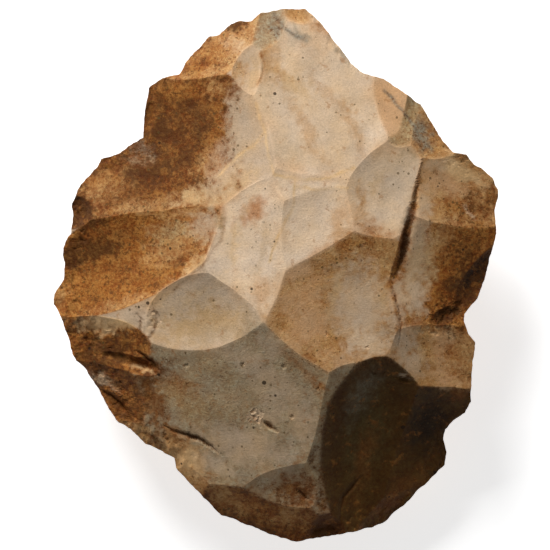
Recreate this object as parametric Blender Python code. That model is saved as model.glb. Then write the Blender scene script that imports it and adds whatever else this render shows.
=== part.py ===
# A prepared flint core, lying on its underside with the worked face up.
# +Y is its long way, +X its wide way, and heights are measured from the table it lies on.
import math

import bpy
import numpy as np

# Overall sizes, in metres
CORE_LENGTH = 0.140
CORE_WIDTH = 0.117
RIM_HEIGHT = 0.022
DOME_HEIGHT = 0.015
EDGE_THICKNESS = 0.0008
SEAT_LENGTH = 0.046
SEAT_WIDTH = 0.036

# Depth of the deepest scar on the worked face, and of the scars on the underside
DEEPEST_SCAR = 0.0072
UNDER_SCAR_DEPTH = 0.0035

# How quickly the dome falls off, and how full the underside is below the rim
DOME_POWER = 2.2
UNDER_POWER = 2.0

# Corners of the rim between one edge chip and the next, clockwise from the top.
# They are in millimetres on a core of the length drawn here, and are resized to CORE_LENGTH and CORE_WIDTH.
RIM_CORNERS = [
    # upper right edge, from the top to the widest point
    (2.5, 69.5), (8, 69.5), (12.5, 65.5), (20, 55), (23, 52.5), (28.5, 51), (38, 44.5), (43.5, 35.5),
    (46.5, 32), (50, 31.5), (52, 29), (54, 28), (57, 25.5), (58.5, 22.5), (58.5, 20), (57.5, 17),
    # right edge with its two bays
    (58, 11), (55, -1), (53, -6), (49.5, -10), (49.5, -12), (50.5, -15), (52.5, -17.5), (51.5, -25.5),
    (51.5, -33), (50, -36), (47, -38), (45, -40.5), (44.5, -43), (45.5, -46.5), (45, -50),
    # lower end
    (34, -61), (29.5, -65), (25.5, -66.5), (5.5, -70), (0, -68.5), (-8.5, -65), (-14, -63),
    # lower left edge
    (-26, -50.5), (-26.5, -48), (-29.5, -46), (-34, -44), (-38, -40), (-41, -38.5), (-43, -36),
    (-49.5, -25), (-52.5, -22.5), (-55, -15.5), (-56, -11), (-58.5, -7.5), (-58, -5), (-56, -1),
    # left edge up to the notch, and the shoulder above it
    (-55.5, 3.5), (-56, 5.5), (-55, 9), (-53.5, 11), (-53, 15.5), (-53.5, 19), (-52, 22.5), (-46.5, 28.5),
    (-45.5, 30.5), (-40.5, 32), (-38, 34), (-34.5, 36), (-34, 43), (-33, 49), (-30.5, 51), (-25, 52.5),
    (-23, 56), (-17, 62.5), (-14.5, 63), (-11.5, 65.5), (-9, 66.5), (-6, 66.5), (-3.5, 68.5),
]

# Middle of the low dome that the scars are struck from, and how far it would reach to each side
DOME_X, DOME_Y = 3, 6
DOME_REACH_X, DOME_REACH_Y = 59, 71

# Scars of the worked face: middle x and y, half length, half width, heading of the length in degrees
# from +X, depth as a share of DEEPEST_SCAR, and steepness (2 is a bowl, more is a flat floor with a steep wall).
SCARS = [
    # the large pale scar at the top, and the strips along its right side
    (13, 47, 26.5, 20.5, 95, 0.34, 2),
    (29, 45, 15, 6, 115, 0.24, 2),
    (35, 40, 12, 5, 60, 0.20, 2),
    (40.5, 36.5, 11, 6.5, 120, 0.24, 2),
    # the two broad hollows on the left, with the slope between them and the pale scar
    (-28, 32, 30, 22, 8, 0.62, 2),
    (-36.0, 6.4, 30.5, 13.6, 24, 0.48, 2),
    (-52, 17, 6, 4.5, 30, 0.33, 2),
    # the small scars at the top end
    (-6.5, 52.5, 8, 4.5, 90, 0.16, 2),
    (-19, 61.5, 20, 11, 36, 0.34, 2),
    (-1, 64, 8, 6, 80, 0.20, 2),
    (7, 67, 6, 3.5, -20, 0.20, 2),
    # the shallow scars around the middle
    (-6.5, 9, 22, 12.5, 100, 0.27, 2),
    (9.5, 12, 18, 11, 50, 0.23, 2),
    (12, 24.3, 15, 9, 6, 0.12, 2),
    (28, 22.5, 15, 11, 65, 0.28, 2),
    (17, -6, 21, 18.5, 30, 0.36, 2),
    (-18.0, -11.6, 15.3, 12.2, 3, 0.40, 2),
    # the right side, lower than the middle
    (51.8, -2.2, 14, 6.3, 50, 0.54, 2),
    (45, -9.8, 8, 4.2, 25, 0.48, 2),
    (42.5, -18.5, 15, 12.5, 90, 0.35, 2),
    # the wide lower scar, the strip beside it, and the small one at its foot
    (-9.5, -35, 29, 24, -27, 0.47, 2),
    (16, -44, 24, 9, 78, 0.42, 2),
    (3, -55, 15, 9.5, 5, 0.38, 2),
    # the deep dark hollow at the lower right
    (27.5, -46, 26, 17, 85, 1.00, 2.5),
    (38, -48, 24, 19, 55, 1.00, 2.5),
    (36, -60, 19, 13, 30, 0.98, 2.5),
    (13, -67, 8, 6, 20, 0.40, 2),
    # the lower edge, and the steps along the left edge
    (-6, -66, 25, 13.0, -12, 0.52, 2),
    (-36, -52, 26, 14, -30, 0.42, 2),
    (-34, -23.5, 7.5, 3, -20, 0.26, 2),
    (-45, -30, 15, 9, -35, 0.34, 2),
    (-46, -16.5, 15, 8.5, -8, 0.32, 2),
]

# Two scars of the right side stop at a flake that broke off short and left a wall. For the wall: a point on
# its foot and the foot's heading, in the drawn millimetres and in degrees, and how far the wall goes back for
# each millimetre that it rises.
WALLED_SCARS = [
    (46, 21, 14, 12, 150, 0.36, 2),
    (44, -1, 19, 20, 80, 0.46, 2),
]
WALL_X, WALL_Y = 32.9, 10.5
WALL_HEADING = 74.5
WALL_LEAN = 0.25

# Scars struck down from the rim onto the underside: how many, their half sizes in the drawn millimetres,
# how far out they lie as a share of the way to the rim, how far each strays from even spacing in radians,
# how much smaller every other one is, and the share of the slope over which they fade at both ends
UNDER_SCARS = 11
UNDER_HALF_LENGTH = 22
UNDER_HALF_WIDTH = 13
UNDER_PLACE = 0.64
UNDER_STRAY = 0.12
UNDER_SMALLER = 0.25
UNDER_FADE = 0.15

# The underside takes up the rim's own corners only near the rim: further in it follows a smoothed rim.
# These are the arc that is smoothed over, in degrees, the steps around the rim that it is worked out in,
# and how suddenly the corners fade.
SMOOTHED_ARC = 50
RIM_STEPS = 720
CORNER_FADE = 6

# Cells along each side of the square grid that is bent into the outline, the triangles kept in the end,
# and how far above the table, in metres, a point still belongs to the flat seat
CELLS = 240
TRIANGLES = 8400
SEAT_FLATNESS = 0.00003

# For finding ridges: the distance over which a slope is measured, in the drawn millimetres, the slope
# that counts as none, and how closely two scars must agree in height, in metres
SLOPE_STEP = 0.01
LEAST_SLOPE = 1e-8
RIDGE_MATCH = 2e-6

MILLIMETRE = 0.001

FLINT_COLOUR = (0.42, 0.31, 0.20, 1.0)
FLINT_ROUGHNESS = 0.55

corners = np.array(RIM_CORNERS, float)
drawn_size = corners.max(axis=0) - corners.min(axis=0)
drawn_middle = (corners.max(axis=0) + corners.min(axis=0)) / 2
plan_scale = np.array([CORE_WIDTH, CORE_LENGTH]) / drawn_size


def scar_height(dome, x, y, mid_x, mid_y, half_length, half_width, heading, depth, steepness):
    """The scar's own surface: the dome lowered by a depth that fades to nothing on the scar's oval."""
    turn = math.radians(heading)
    along = (x - mid_x) * math.cos(turn) + (y - mid_y) * math.sin(turn)
    across = (y - mid_y) * math.cos(turn) - (x - mid_x) * math.sin(turn)
    out = (along / half_length) ** 2 + (across / half_width) ** 2
    return dome + DEEPEST_SCAR * depth * (out ** (steepness / 2) - 1)


def wall_height(x, y):
    """How far the wall stands above the scars at its foot: nothing in front of it, and steep behind."""
    turn = math.radians(WALL_HEADING)
    behind = (y - WALL_Y) * math.cos(turn) - (x - WALL_X) * math.sin(turn)
    return np.clip(behind, 0, None) * MILLIMETRE / WALL_LEAN


def face_heights(x, y):
    """Height of the dome and of each scar's own surface over the drawn plan, one row for each, in metres."""
    reach = ((x - DOME_X) / DOME_REACH_X) ** 2 + ((y - DOME_Y) / DOME_REACH_Y) ** 2
    dome = RIM_HEIGHT + DOME_HEIGHT * (1 - reach ** (DOME_POWER / 2))
    rows = [dome]
    rows += [scar_height(dome, x, y, *scar) for scar in SCARS]
    rows += [scar_height(dome, x, y, *scar) + wall_height(x, y) for scar in WALLED_SCARS]
    return np.array(rows)


def face_height(x, y):
    """The worked face is the lowest of the dome and the scars, so two scars meet in a ridge."""
    return face_heights(x, y).min(axis=0)


def disc_grid(cells):
    """Points of a square grid bent into a disc, as a share of the radius and an angle."""
    side = np.linspace(-1, 1, cells + 1)
    u, v = np.meshgrid(side, side)
    share = np.maximum(np.abs(u), np.abs(v))
    longer = np.where(np.abs(u) >= np.abs(v), u, v)
    shorter = np.where(np.abs(u) >= np.abs(v), v, u)
    ratio = np.divide(shorter, longer, out=np.zeros_like(u), where=longer != 0)
    lean = ratio * math.pi / 4
    angle = np.where(np.abs(u) >= np.abs(v), lean, math.pi / 2 - lean) + np.where(longer < 0, math.pi, 0)
    return share, angle


def rim_radius(angle):
    """Distance from the middle of the plan to the rim's straight edges, in each direction."""
    first = corners - drawn_middle
    around = np.arctan2(first[:, 1], first[:, 0])
    order = np.argsort(around)
    first = first[order]
    around = around[order]
    second = np.roll(first, -1, axis=0)
    turned = (angle + math.pi) % (2 * math.pi) - math.pi
    at = (np.searchsorted(around, turned, side="right") - 1) % len(around)
    start = first[at]
    edge = second[at] - start
    area = start[..., 0] * edge[..., 1] - start[..., 1] * edge[..., 0]
    return area / (np.cos(angle) * edge[..., 1] - np.sin(angle) * edge[..., 0])


def spacing_across(grid, x, y, slope_x, slope_y):
    """Spacing of the grid's points at each point, measured across the ridge, whose gap has this slope."""
    across = np.zeros_like(x)
    for axis in (0, 1):
        side_x = np.gradient(x[grid], axis=axis).ravel()
        side_y = np.gradient(y[grid], axis=axis).ravel()
        across = np.maximum(across, np.abs(side_x * slope_x + side_y * slope_y))
    return across / (np.hypot(slope_x, slope_y) + LEAST_SLOPE)


def onto_ridges(grid, x, y, inside):
    """Moves each inner point that lies by a ridge straight onto it, so the ridge stays sharp."""
    two = np.argpartition(face_heights(x, y), 1, axis=0)[:2]

    def gap(px, py):
        low, high = np.take_along_axis(face_heights(px, py), two, axis=0)
        return high - low

    to_x = x.copy()
    to_y = y.copy()
    reach = None
    for _ in range(3):
        here = gap(to_x, to_y)
        slope_x = (gap(to_x + SLOPE_STEP, to_y) - gap(to_x - SLOPE_STEP, to_y)) / (2 * SLOPE_STEP)
        slope_y = (gap(to_x, to_y + SLOPE_STEP) - gap(to_x, to_y - SLOPE_STEP)) / (2 * SLOPE_STEP)
        if reach is None:
            reach = spacing_across(grid, x, y, slope_x, slope_y) / 2
        steepness = slope_x**2 + slope_y**2 + LEAST_SLOPE**2
        to_x = to_x - here * slope_x / steepness
        to_y = to_y - here * slope_y / steepness
    # a point stays where it was if the ridge is too far off, or if a third scar cuts lower at that place
    near = inside & (np.hypot(to_x - x, to_y - y) <= reach)
    rows = face_heights(np.where(near, to_x, x), np.where(near, to_y, y))
    near &= np.take_along_axis(rows, two, axis=0).max(axis=0) - rows.min(axis=0) < RIDGE_MATCH
    return np.where(near, to_x, x), np.where(near, to_y, y)


def seat_radius(angle):
    """Distance from the middle to the edge of the oval flat that the core rests on."""
    return 1 / np.hypot(np.cos(angle) / (SEAT_WIDTH / 2), np.sin(angle) / (SEAT_LENGTH / 2))


def smoothed(values):
    """A running mean, over SMOOTHED_ARC, of values given at equal steps around the rim."""
    reach = round(len(values) * SMOOTHED_ARC / (2 * 360))
    return np.mean([np.roll(values, shift) for shift in range(-reach, reach + 1)], axis=0)


def around_rim(angle, own_angle, own_values):
    """Values at the rim points, carried inwards along each direction: as they are, and smoothed."""
    even = np.linspace(-math.pi, math.pi, RIM_STEPS, endpoint=False)
    order = np.argsort(own_angle)
    level = np.interp(even, own_angle[order], own_values[order], period=2 * math.pi)
    exact = np.interp(angle, own_angle[order], own_values[order], period=2 * math.pi)
    return exact, np.interp(angle, even, smoothed(level), period=2 * math.pi)


def under_height(x, y, share, ring, rim_below):
    """The underside rises from the flat seat to just below the rim, with steep scars around it."""
    plan_x = (x - drawn_middle[0]) * plan_scale[0]
    plan_y = (y - drawn_middle[1]) * plan_scale[1]
    radius = np.hypot(plan_x, plan_y)
    angle = np.arctan2(plan_y, plan_x)
    seat = seat_radius(angle)
    corner_part = share**CORNER_FADE
    rim, smooth_rim = around_rim(angle, angle[ring], radius[ring])
    below, smooth_below = around_rim(angle, angle[ring], rim_below)
    rim = smooth_rim + (rim - smooth_rim) * corner_part
    below = smooth_below + (below - smooth_below) * corner_part
    rise = np.clip((radius - seat) / (rim - seat), 0, 1)
    lift = np.zeros_like(x)
    for number in range(UNDER_SCARS):
        turn = 2 * math.pi * number / UNDER_SCARS + UNDER_STRAY * math.sin(number**2)
        size = 1 - UNDER_SMALLER * (number % 2)
        away = UNDER_PLACE * float(rim_radius(np.array(turn)))
        mid_x = drawn_middle[0] + away * math.cos(turn)
        mid_y = drawn_middle[1] + away * math.sin(turn)
        along = (x - mid_x) * math.cos(turn) + (y - mid_y) * math.sin(turn)
        across = (y - mid_y) * math.cos(turn) - (x - mid_x) * math.sin(turn)
        out = (along / (UNDER_HALF_LENGTH * size)) ** 2 + (across / UNDER_HALF_WIDTH) ** 2
        lift = np.maximum(lift, UNDER_SCAR_DEPTH * size * (1 - out))
    fade = np.clip(rise / UNDER_FADE, 0, 1) * np.clip((1 - rise) / UNDER_FADE, 0, 1)
    return below * rise**UNDER_POWER + lift * fade


def quads_split(grid, heights, middle_heights):
    """Two triangles for each cell, cut along the diagonal that lies closer to the true surface."""
    a = grid[:-1, :-1]
    b = grid[:-1, 1:]
    c = grid[1:, 1:]
    d = grid[1:, :-1]
    error_ac = np.abs((heights[a] + heights[c]) / 2 - middle_heights)
    error_bd = np.abs((heights[b] + heights[d]) / 2 - middle_heights)
    cut_ac = (error_ac <= error_bd)[..., None]
    one = np.where(cut_ac, np.stack([a, b, c], -1), np.stack([a, b, d], -1))
    two = np.where(cut_ac, np.stack([a, c, d], -1), np.stack([b, c, d], -1))
    return np.concatenate([one.reshape(-1, 3), two.reshape(-1, 3)])


def edge_ring(grid):
    """The grid's border points, once around."""
    return np.concatenate([grid[0, :-1], grid[:-1, -1], grid[-1, :0:-1], grid[:0:-1, 0]])


def core_mesh():
    """Points and triangles of the closed core: worked face, thin edge band and underside."""
    share, angle = disc_grid(CELLS)
    grid = np.arange(share.size).reshape(share.shape)
    ring = edge_ring(grid)
    radius = share * rim_radius(angle)
    x = (drawn_middle[0] + radius * np.cos(angle)).ravel()
    y = (drawn_middle[1] + radius * np.sin(angle)).ravel()
    share = share.ravel()
    # the border point nearest to each rim corner takes that corner's place
    for corner_x, corner_y in corners:
        nearest = ring[np.argmin(np.hypot(x[ring] - corner_x, y[ring] - corner_y))]
        x[nearest] = corner_x
        y[nearest] = corner_y
    top_x, top_y = onto_ridges(grid, x, y, share < 1)
    top_z = face_height(top_x, top_y)
    under_z = under_height(x, y, share, ring, top_z[ring] - EDGE_THICKNESS)

    def cell_middles(values):
        square = values.reshape(grid.shape)
        return (square[:-1, :-1] + square[:-1, 1:] + square[1:, 1:] + square[1:, :-1]) / 4

    top_faces = quads_split(grid, top_z, face_height(cell_middles(top_x), cell_middles(top_y)))
    under_faces = quads_split(grid, under_z, cell_middles(under_z))
    count = grid.size
    after = np.roll(ring, -1)
    band = np.concatenate(
        [
            np.stack([ring + count, after + count, after], -1),
            np.stack([ring + count, after, ring], -1),
        ]
    )
    faces = np.concatenate([top_faces, under_faces[:, ::-1] + count, band])
    plan = np.concatenate([np.stack([top_x, top_y], -1), np.stack([x, y], -1)])
    points = np.column_stack([(plan - drawn_middle) * plan_scale, np.concatenate([top_z, under_z])])
    return points, faces


def flint():
    material = bpy.data.materials.new("flint")
    material.use_nodes = True
    shader = material.node_tree.nodes["Principled BSDF"]
    shader.inputs["Base Color"].default_value = FLINT_COLOUR
    shader.inputs["Roughness"].default_value = FLINT_ROUGHNESS
    return material


for leftover in list(bpy.data.objects):
    bpy.data.objects.remove(leftover)

points, faces = core_mesh()
mesh = bpy.data.meshes.new("core")
mesh.from_pydata(points.tolist(), [], faces.tolist())
mesh.materials.append(flint())
core = bpy.data.objects.new("core", mesh)
bpy.context.scene.collection.objects.link(core)

# Fewer triangles where the scars are smooth, and as many as needed along the ridges
thin_out = core.modifiers.new("thin out", "DECIMATE")
thin_out.ratio = TRIANGLES / len(faces)
thin_out.use_collapse_triangulate = True
graph = bpy.context.evaluated_depsgraph_get()
core.data = bpy.data.meshes.new_from_object(core.evaluated_get(graph))
core.modifiers.clear()
bpy.data.meshes.remove(mesh)

# Points of the seat that the thinning left a hair above or below the table are set level with it
places = np.empty(len(core.data.vertices) * 3, np.float32)
core.data.vertices.foreach_get("co", places)
places[2::3] = np.where(places[2::3] < SEAT_FLATNESS, 0, places[2::3])
core.data.vertices.foreach_set("co", places)
core.data.update()
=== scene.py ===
# %% [markdown]
# # A flint core from which flakes were struck
# The object is one lump of flint about 140 mm long, shaped by knocking flakes off its rim.
# Every blow left a shallow dish, the scar, and where two scars meet there is a ridge.
# The rigid solid of the core comes in as the frame; this script dresses it with a finer mesh of
# the same form, and with the patina that thousands of years in the ground gave it.

# %% the frame
import math

import bpy
import numpy as np
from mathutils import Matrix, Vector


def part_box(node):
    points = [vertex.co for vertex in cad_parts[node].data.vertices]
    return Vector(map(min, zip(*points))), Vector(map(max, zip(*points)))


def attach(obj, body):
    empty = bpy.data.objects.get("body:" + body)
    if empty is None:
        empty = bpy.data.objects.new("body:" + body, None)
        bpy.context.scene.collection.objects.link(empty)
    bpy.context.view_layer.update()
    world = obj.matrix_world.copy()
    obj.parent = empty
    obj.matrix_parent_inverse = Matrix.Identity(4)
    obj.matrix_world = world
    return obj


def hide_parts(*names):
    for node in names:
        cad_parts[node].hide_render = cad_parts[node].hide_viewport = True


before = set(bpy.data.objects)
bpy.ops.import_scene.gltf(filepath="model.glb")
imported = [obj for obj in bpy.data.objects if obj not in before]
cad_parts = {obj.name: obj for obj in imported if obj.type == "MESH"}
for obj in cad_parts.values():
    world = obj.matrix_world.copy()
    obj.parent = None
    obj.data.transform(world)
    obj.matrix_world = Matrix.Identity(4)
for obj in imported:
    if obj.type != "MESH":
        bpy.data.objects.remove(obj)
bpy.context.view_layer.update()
core_low, core_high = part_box("core")
print("the core's box in mm:", [round(1000 * side, 1) for side in core_high - core_low])

# %% [markdown]
# ## The camera
# The photograph looks straight down on the core as it lies on its underside.
# A long lens far away keeps the ridges where a ruler would put them: with a short lens the high
# middle of the core would swell towards the viewer. The width of the view is fitted at the
# height of the rim, because that is where the outline lies.

# %% the camera
RIM_HEIGHT = 0.022
VIEW_WIDTH = 0.1441
LENS = 200
SENSOR = 36
VIEW_MIDDLE = (0.00007, 0.00042)

camera_data = bpy.data.cameras.new("camera")
camera_data.lens = LENS
camera_data.sensor_width = SENSOR
camera = bpy.data.objects.new("camera", camera_data)
distance = VIEW_WIDTH * LENS / SENSOR
camera.location = (*VIEW_MIDDLE, RIM_HEIGHT + distance)
bpy.context.scene.collection.objects.link(camera)
bpy.context.scene.camera = camera
print(f"camera {distance:.3f} m above the rim, looking straight down")

# %% [markdown]
# ## Floor and light
# The photograph has a white table and one large soft lamp beyond the top edge, a little to the
# left, so slopes that face the top of the picture are bright and those that face away are dark.
# A big area lamp gives that soft edge to the shadows. A weak even sky fills them, and a floor
# that glows a little, as a light table does, washes out most of the core's own shadow.

# %% the floor
FLOOR_HALF = 1.5
FLOOR_COLOUR = (0.92, 0.92, 0.92, 1)
FLOOR_GLOW = 0.70
WHITE = (1, 1, 1, 1)

floor_mesh = bpy.data.meshes.new("floor")
sides = [(-1, -1), (1, -1), (1, 1), (-1, 1)]
floor_mesh.from_pydata([(FLOOR_HALF * x, FLOOR_HALF * y, 0) for x, y in sides], [], [(0, 1, 2, 3)])
floor = bpy.data.objects.new("floor", floor_mesh)
bpy.context.scene.collection.objects.link(floor)
floor_finish = bpy.data.materials.new("pale floor")
floor_finish.use_nodes = True
floor_shader = floor_finish.node_tree.nodes["Principled BSDF"]
floor_shader.inputs["Base Color"].default_value = FLOOR_COLOUR
floor_shader.inputs["Roughness"].default_value = 0.9
floor_shader.inputs["Emission Color"].default_value = WHITE
floor_shader.inputs["Emission Strength"].default_value = FLOOR_GLOW
floor_mesh.materials.append(floor_finish)

# %% the lamp and the sky
LAMP_WAY = (-0.34, 0.80, 0.56)
LAMP_DISTANCE = 0.9
LAMP_SIZE = 0.34
LAMP_POWER = 8.0
SKY_STRENGTH = 0.11

lamp_data = bpy.data.lights.new("key lamp", "AREA")
lamp_data.size = LAMP_SIZE
lamp_data.energy = LAMP_POWER
lamp = bpy.data.objects.new("key lamp", lamp_data)
lamp.location = np.array(LAMP_WAY) / np.linalg.norm(LAMP_WAY) * LAMP_DISTANCE
lamp.rotation_euler = lamp.location.to_track_quat("Z", "Y").to_euler()
bpy.context.scene.collection.objects.link(lamp)
sky = bpy.data.worlds.new("sky")
sky.use_nodes = True
sky.node_tree.nodes["Background"].inputs["Color"].default_value = WHITE
sky.node_tree.nodes["Background"].inputs["Strength"].default_value = SKY_STRENGTH
bpy.context.scene.world = sky
bpy.context.scene.view_settings.view_transform = "Standard"

# %% [markdown]
# ## The form of the worked face
# The face is a low dome with dishes cut out of it. Each scar is written as its own surface: the
# dome, lowered by a depth that fades to nothing at the scar's oval rim. The face is the lowest of
# all these surfaces at each place, so the ridges appear by themselves where two of them cross,
# as they do on real flint. Sculpting the ridges by hand would need far more points and would
# never give such clean dishes.

# %% sizes of the core, in metres, and its outline, in millimetres as drawn
CORE_LENGTH = 0.140
CORE_WIDTH = 0.117
DOME_HEIGHT = 0.0150
DEEPEST_SCAR = 0.0072
DOME_POWER = 2.2
DOME_X, DOME_Y = 3, 6
DOME_REACH_X, DOME_REACH_Y = 59, 71
RIM_CORNERS = [
    # upper right edge, from the top to the widest point
    (2.5, 69.5), (8, 69.5), (12.5, 65.5), (20, 55), (23, 52.5), (28.5, 51), (38, 44.5), (43.5, 35.5),
    (46.5, 32), (50, 31.5), (52, 29), (54, 28), (57, 25.5), (58.5, 22.5), (58.5, 20), (57.5, 17),
    # right edge with its two bays
    (58, 11), (55, -1), (53, -6), (49.5, -10), (49.5, -12), (50.5, -15), (52.5, -17.5), (51.5, -25.5),
    (51.5, -33), (50, -36), (47, -38), (45, -40.5), (44.5, -43), (45.5, -46.5), (45, -50),
    # lower end
    (34, -61), (29.5, -65), (25.5, -66.5), (5.5, -70), (0, -68.5), (-8.5, -65), (-14, -63),
    # lower left edge
    (-26, -50.5), (-26.5, -48), (-29.5, -46), (-34, -44), (-38, -40), (-41, -38.5), (-43, -36),
    (-49.5, -25), (-52.5, -22.5), (-55, -15.5), (-56, -11), (-58.5, -7.5), (-58, -5), (-56, -1),
    # left edge up to the notch, and the shoulder above it
    (-55.5, 3.5), (-56, 5.5), (-55, 9), (-53.5, 11), (-53, 15.5), (-53.5, 19), (-52, 22.5), (-46.5, 28.5),
    (-45.5, 30.5), (-40.5, 32), (-38, 34), (-34.5, 36), (-34, 43), (-33, 49), (-30.5, 51), (-25, 52.5),
    (-23, 56), (-17, 62.5), (-14.5, 63), (-11.5, 65.5), (-9, 66.5), (-6, 66.5), (-3.5, 68.5),
]
corners = np.array(RIM_CORNERS, float)
drawn_size = corners.max(axis=0) - corners.min(axis=0)
drawn_middle = (corners.max(axis=0) + corners.min(axis=0)) / 2
plan_scale = np.array([CORE_WIDTH, CORE_LENGTH]) / drawn_size
print(f"{len(corners)} corners around the rim")

# %% the scars of the worked face
# name: middle x and y, half length, half width, heading of the length in degrees from +X,
# depth as a share of DEEPEST_SCAR, and steepness (2 is a bowl, more is a flat floor with a steep wall)
SCARS = {
    # the large pale scar at the top, and the strips along its right side
    "top": (13, 47, 26.5, 20.5, 95, 0.34, 2),
    "strip one": (29, 45, 15, 6, 115, 0.24, 2),
    "strip two": (35, 40, 12, 5, 60, 0.20, 2),
    "strip three": (40.5, 36.5, 11, 6.5, 120, 0.24, 2),
    # the two broad scars on the left, and a bite at the rim between them
    "shoulder": (-28, 32, 30, 22, 8, 0.62, 2),
    "left fan": (-35.6, 7.3, 30.5, 12.8, 28, 0.48, 2),
    "left nick": (-52, 17, 6, 4.5, 30, 0.33, 2),
    # the small scars at the top end
    "tongue": (-6.5, 52.5, 8, 4.5, 90, 0.16, 2),
    "upper left": (-19, 61.5, 20, 11, 36, 0.34, 2),
    "blue": (-1, 64, 8, 6, 80, 0.20, 2),
    "tip": (7, 67, 6, 3.5, -20, 0.20, 2),
    # the shallow scars around the middle
    "middle": (-6.5, 9, 22, 12.5, 100, 0.27, 2),
    "pink": (9.5, 12, 18, 11, 50, 0.23, 2),
    "bevel": (12, 24.3, 15, 9, 6, 0.12, 2),
    "window": (28, 22.5, 15, 11, 65, 0.28, 2),
    "tan": (17, -6, 21, 18.5, 30, 0.36, 2),
    "cup": (-18, -11.6, 15.3, 12.2, 3, 0.40, 2),
    # the right side, lower than the middle, with the step and its narrow groove between them
    "crust": (46, 21, 14, 12, 150, 0.36, 2),
    "step": (44, -1, 19, 20, 80, 0.46, 2),
    "black edge": (51.8, -2.2, 14, 6.3, 50, 0.54, 2),
    "right nick": (45, -9.8, 8, 4.2, 25, 0.48, 2),
    "right": (42.5, -18.5, 15, 12.5, 90, 0.35, 2),
    # the wide lower scar, the strip beside it, and the small one at its foot
    "lower": (-9.5, -35, 29, 24, -27, 0.47, 2),
    "grey strip": (16, -44, 24, 9, 78, 0.42, 2),
    "foot": (3, -55, 15, 9.5, 5, 0.38, 2),
    # the deep dark hollow at the lower right
    "hollow": (26.2, -46, 25.4, 17, 88, 1.00, 2.5),
    "hollow side": (37.2, -49.4, 24, 19, 53, 1.00, 2.5),
    "hollow foot": (36, -60, 19, 13, 30, 0.98, 2.5),
    "end": (13, -67, 8, 6, 20, 0.40, 2),
    # the lower edge, and the steps along the left edge
    "lower edge": (-6, -66, 25, 13, -12, 0.52, 2),
    "lower left": (-36, -52, 26, 14, -30, 0.42, 2),
    "ledge": (-34, -23.5, 7.5, 3, -20, 0.26, 2),
    "left step": (-45, -30, 15, 9, -35, 0.34, 2),
    "left point": (-46, -18.2, 15, 7.6, -8, 0.32, 2),
}
# two scars stop at a flake that broke off short and left a wall: a point on the wall's foot, the heading of
# the foot, and how far the wall goes back for each millimetre that it rises
WALLED_SCARS = ("step", "crust")
WALL_X, WALL_Y = 32.9, 10.5
WALL_HEADING = 74.5
WALL_LEAN = 0.25
print(f"{len(SCARS)} scars; the deepest is {1000 * DEEPEST_SCAR:.1f} mm")


# %% two kinds of noise: smooth, and in layers
# corners along one side of the lattice, after which it repeats
LATTICE = 97


def noise(x, y, size, seed):
    """Smooth random hills about -1 to 1 high and `size` millimetres across. Each corner of a square
    lattice has a random slope; the value is the four corners' slopes followed to the point, blended
    with the curve 6t^5 - 15t^4 + 10t^3."""
    turn = np.random.default_rng(seed).uniform(0, 2 * math.pi, (LATTICE, LATTICE))
    whole_x = np.floor(x / size).astype(int)
    whole_y = np.floor(y / size).astype(int)
    part_x = x / size - whole_x
    part_y = y / size - whole_y

    def corner(side_x, side_y):
        way = turn[(whole_x + side_x) % LATTICE, (whole_y + side_y) % LATTICE]
        return np.cos(way) * (part_x - side_x) + np.sin(way) * (part_y - side_y)

    ease_x = part_x**3 * (part_x * (6 * part_x - 15) + 10)
    ease_y = part_y**3 * (part_y * (6 * part_y - 15) + 10)
    lower = corner(0, 0) + ease_x * (corner(1, 0) - corner(0, 0))
    upper = corner(0, 1) + ease_x * (corner(1, 1) - corner(0, 1))
    return 1.5 * (lower + ease_y * (upper - lower))


def layered(x, y, size, seed, layers=4):
    """Noise with finer and weaker layers on top: each is half as wide and half as strong."""
    return sum(noise(x, y, size / 2**k, seed + k) / 2**k for k in range(layers))


def bent(x, y, sizes, seed_x, seed_y, kind=noise):
    """The plan bent by noise: each size moves the points by up to its own amount, both in millimetres."""
    bent_x = x + sum(amount * kind(x, y, size, seed_x) for size, amount in sizes)
    bent_y = y + sum(amount * kind(x, y, size, seed_y) for size, amount in sizes)
    return bent_x, bent_y


# %% the height of the dome and of each scar
# sizes of the noise that bends the ridges, each with its amount
BEND_SIZES = ((11, 0.40), (3.1, 0.05))


def out_of(x, y, middle_x, middle_y, half_length, half_width, heading):
    """How far out of an oval each point is, squared: (along / half length)^2 + (across / half width)^2,
    where along and across are measured in the oval's own turned axes. It is 1 on the oval."""
    turn = math.radians(heading)
    along = (x - middle_x) * math.cos(turn) + (y - middle_y) * math.sin(turn)
    across = (y - middle_y) * math.cos(turn) - (x - middle_x) * math.sin(turn)
    return (along / half_length) ** 2 + (across / half_width) ** 2


def face_heights(x, y):
    """Rows of heights in metres: the dome, RIM_HEIGHT + DOME_HEIGHT (1 - reach^DOME_POWER), then for each
    scar dome + depth (out^steepness - 1), where out is 1 on the scar's oval. The plan is first bent by a
    few tenths of a millimetre of noise, so that the ridges waver as they do in flint."""
    bent_x, bent_y = bent(x, y, BEND_SIZES, 11, 23)
    reach = out_of(bent_x, bent_y, DOME_X, DOME_Y, DOME_REACH_X, DOME_REACH_Y, 0)
    dome = RIM_HEIGHT + DOME_HEIGHT * (1 - reach ** (DOME_POWER / 2))
    turn = math.radians(WALL_HEADING)
    behind = (bent_y - WALL_Y) * math.cos(turn) - (bent_x - WALL_X) * math.sin(turn)
    wall = np.clip(behind, 0, None) / WALL_LEAN / 1000
    rows = [dome]
    for name, (*oval, depth, steepness) in SCARS.items():
        row = dome + DEEPEST_SCAR * depth * (out_of(bent_x, bent_y, *oval) ** (steepness / 2) - 1)
        rows.append(row + wall if name in WALLED_SCARS else row)
    return np.array(rows)


# %% [markdown]
# ## A grid bent into the outline
# A square grid is bent into a disc and the disc is stretched to the rim, so the mesh has no pole
# and its edge follows every corner of the outline. Points beside a ridge are then moved onto it.
# Without that the ridge would zigzag from cell to cell.

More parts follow.
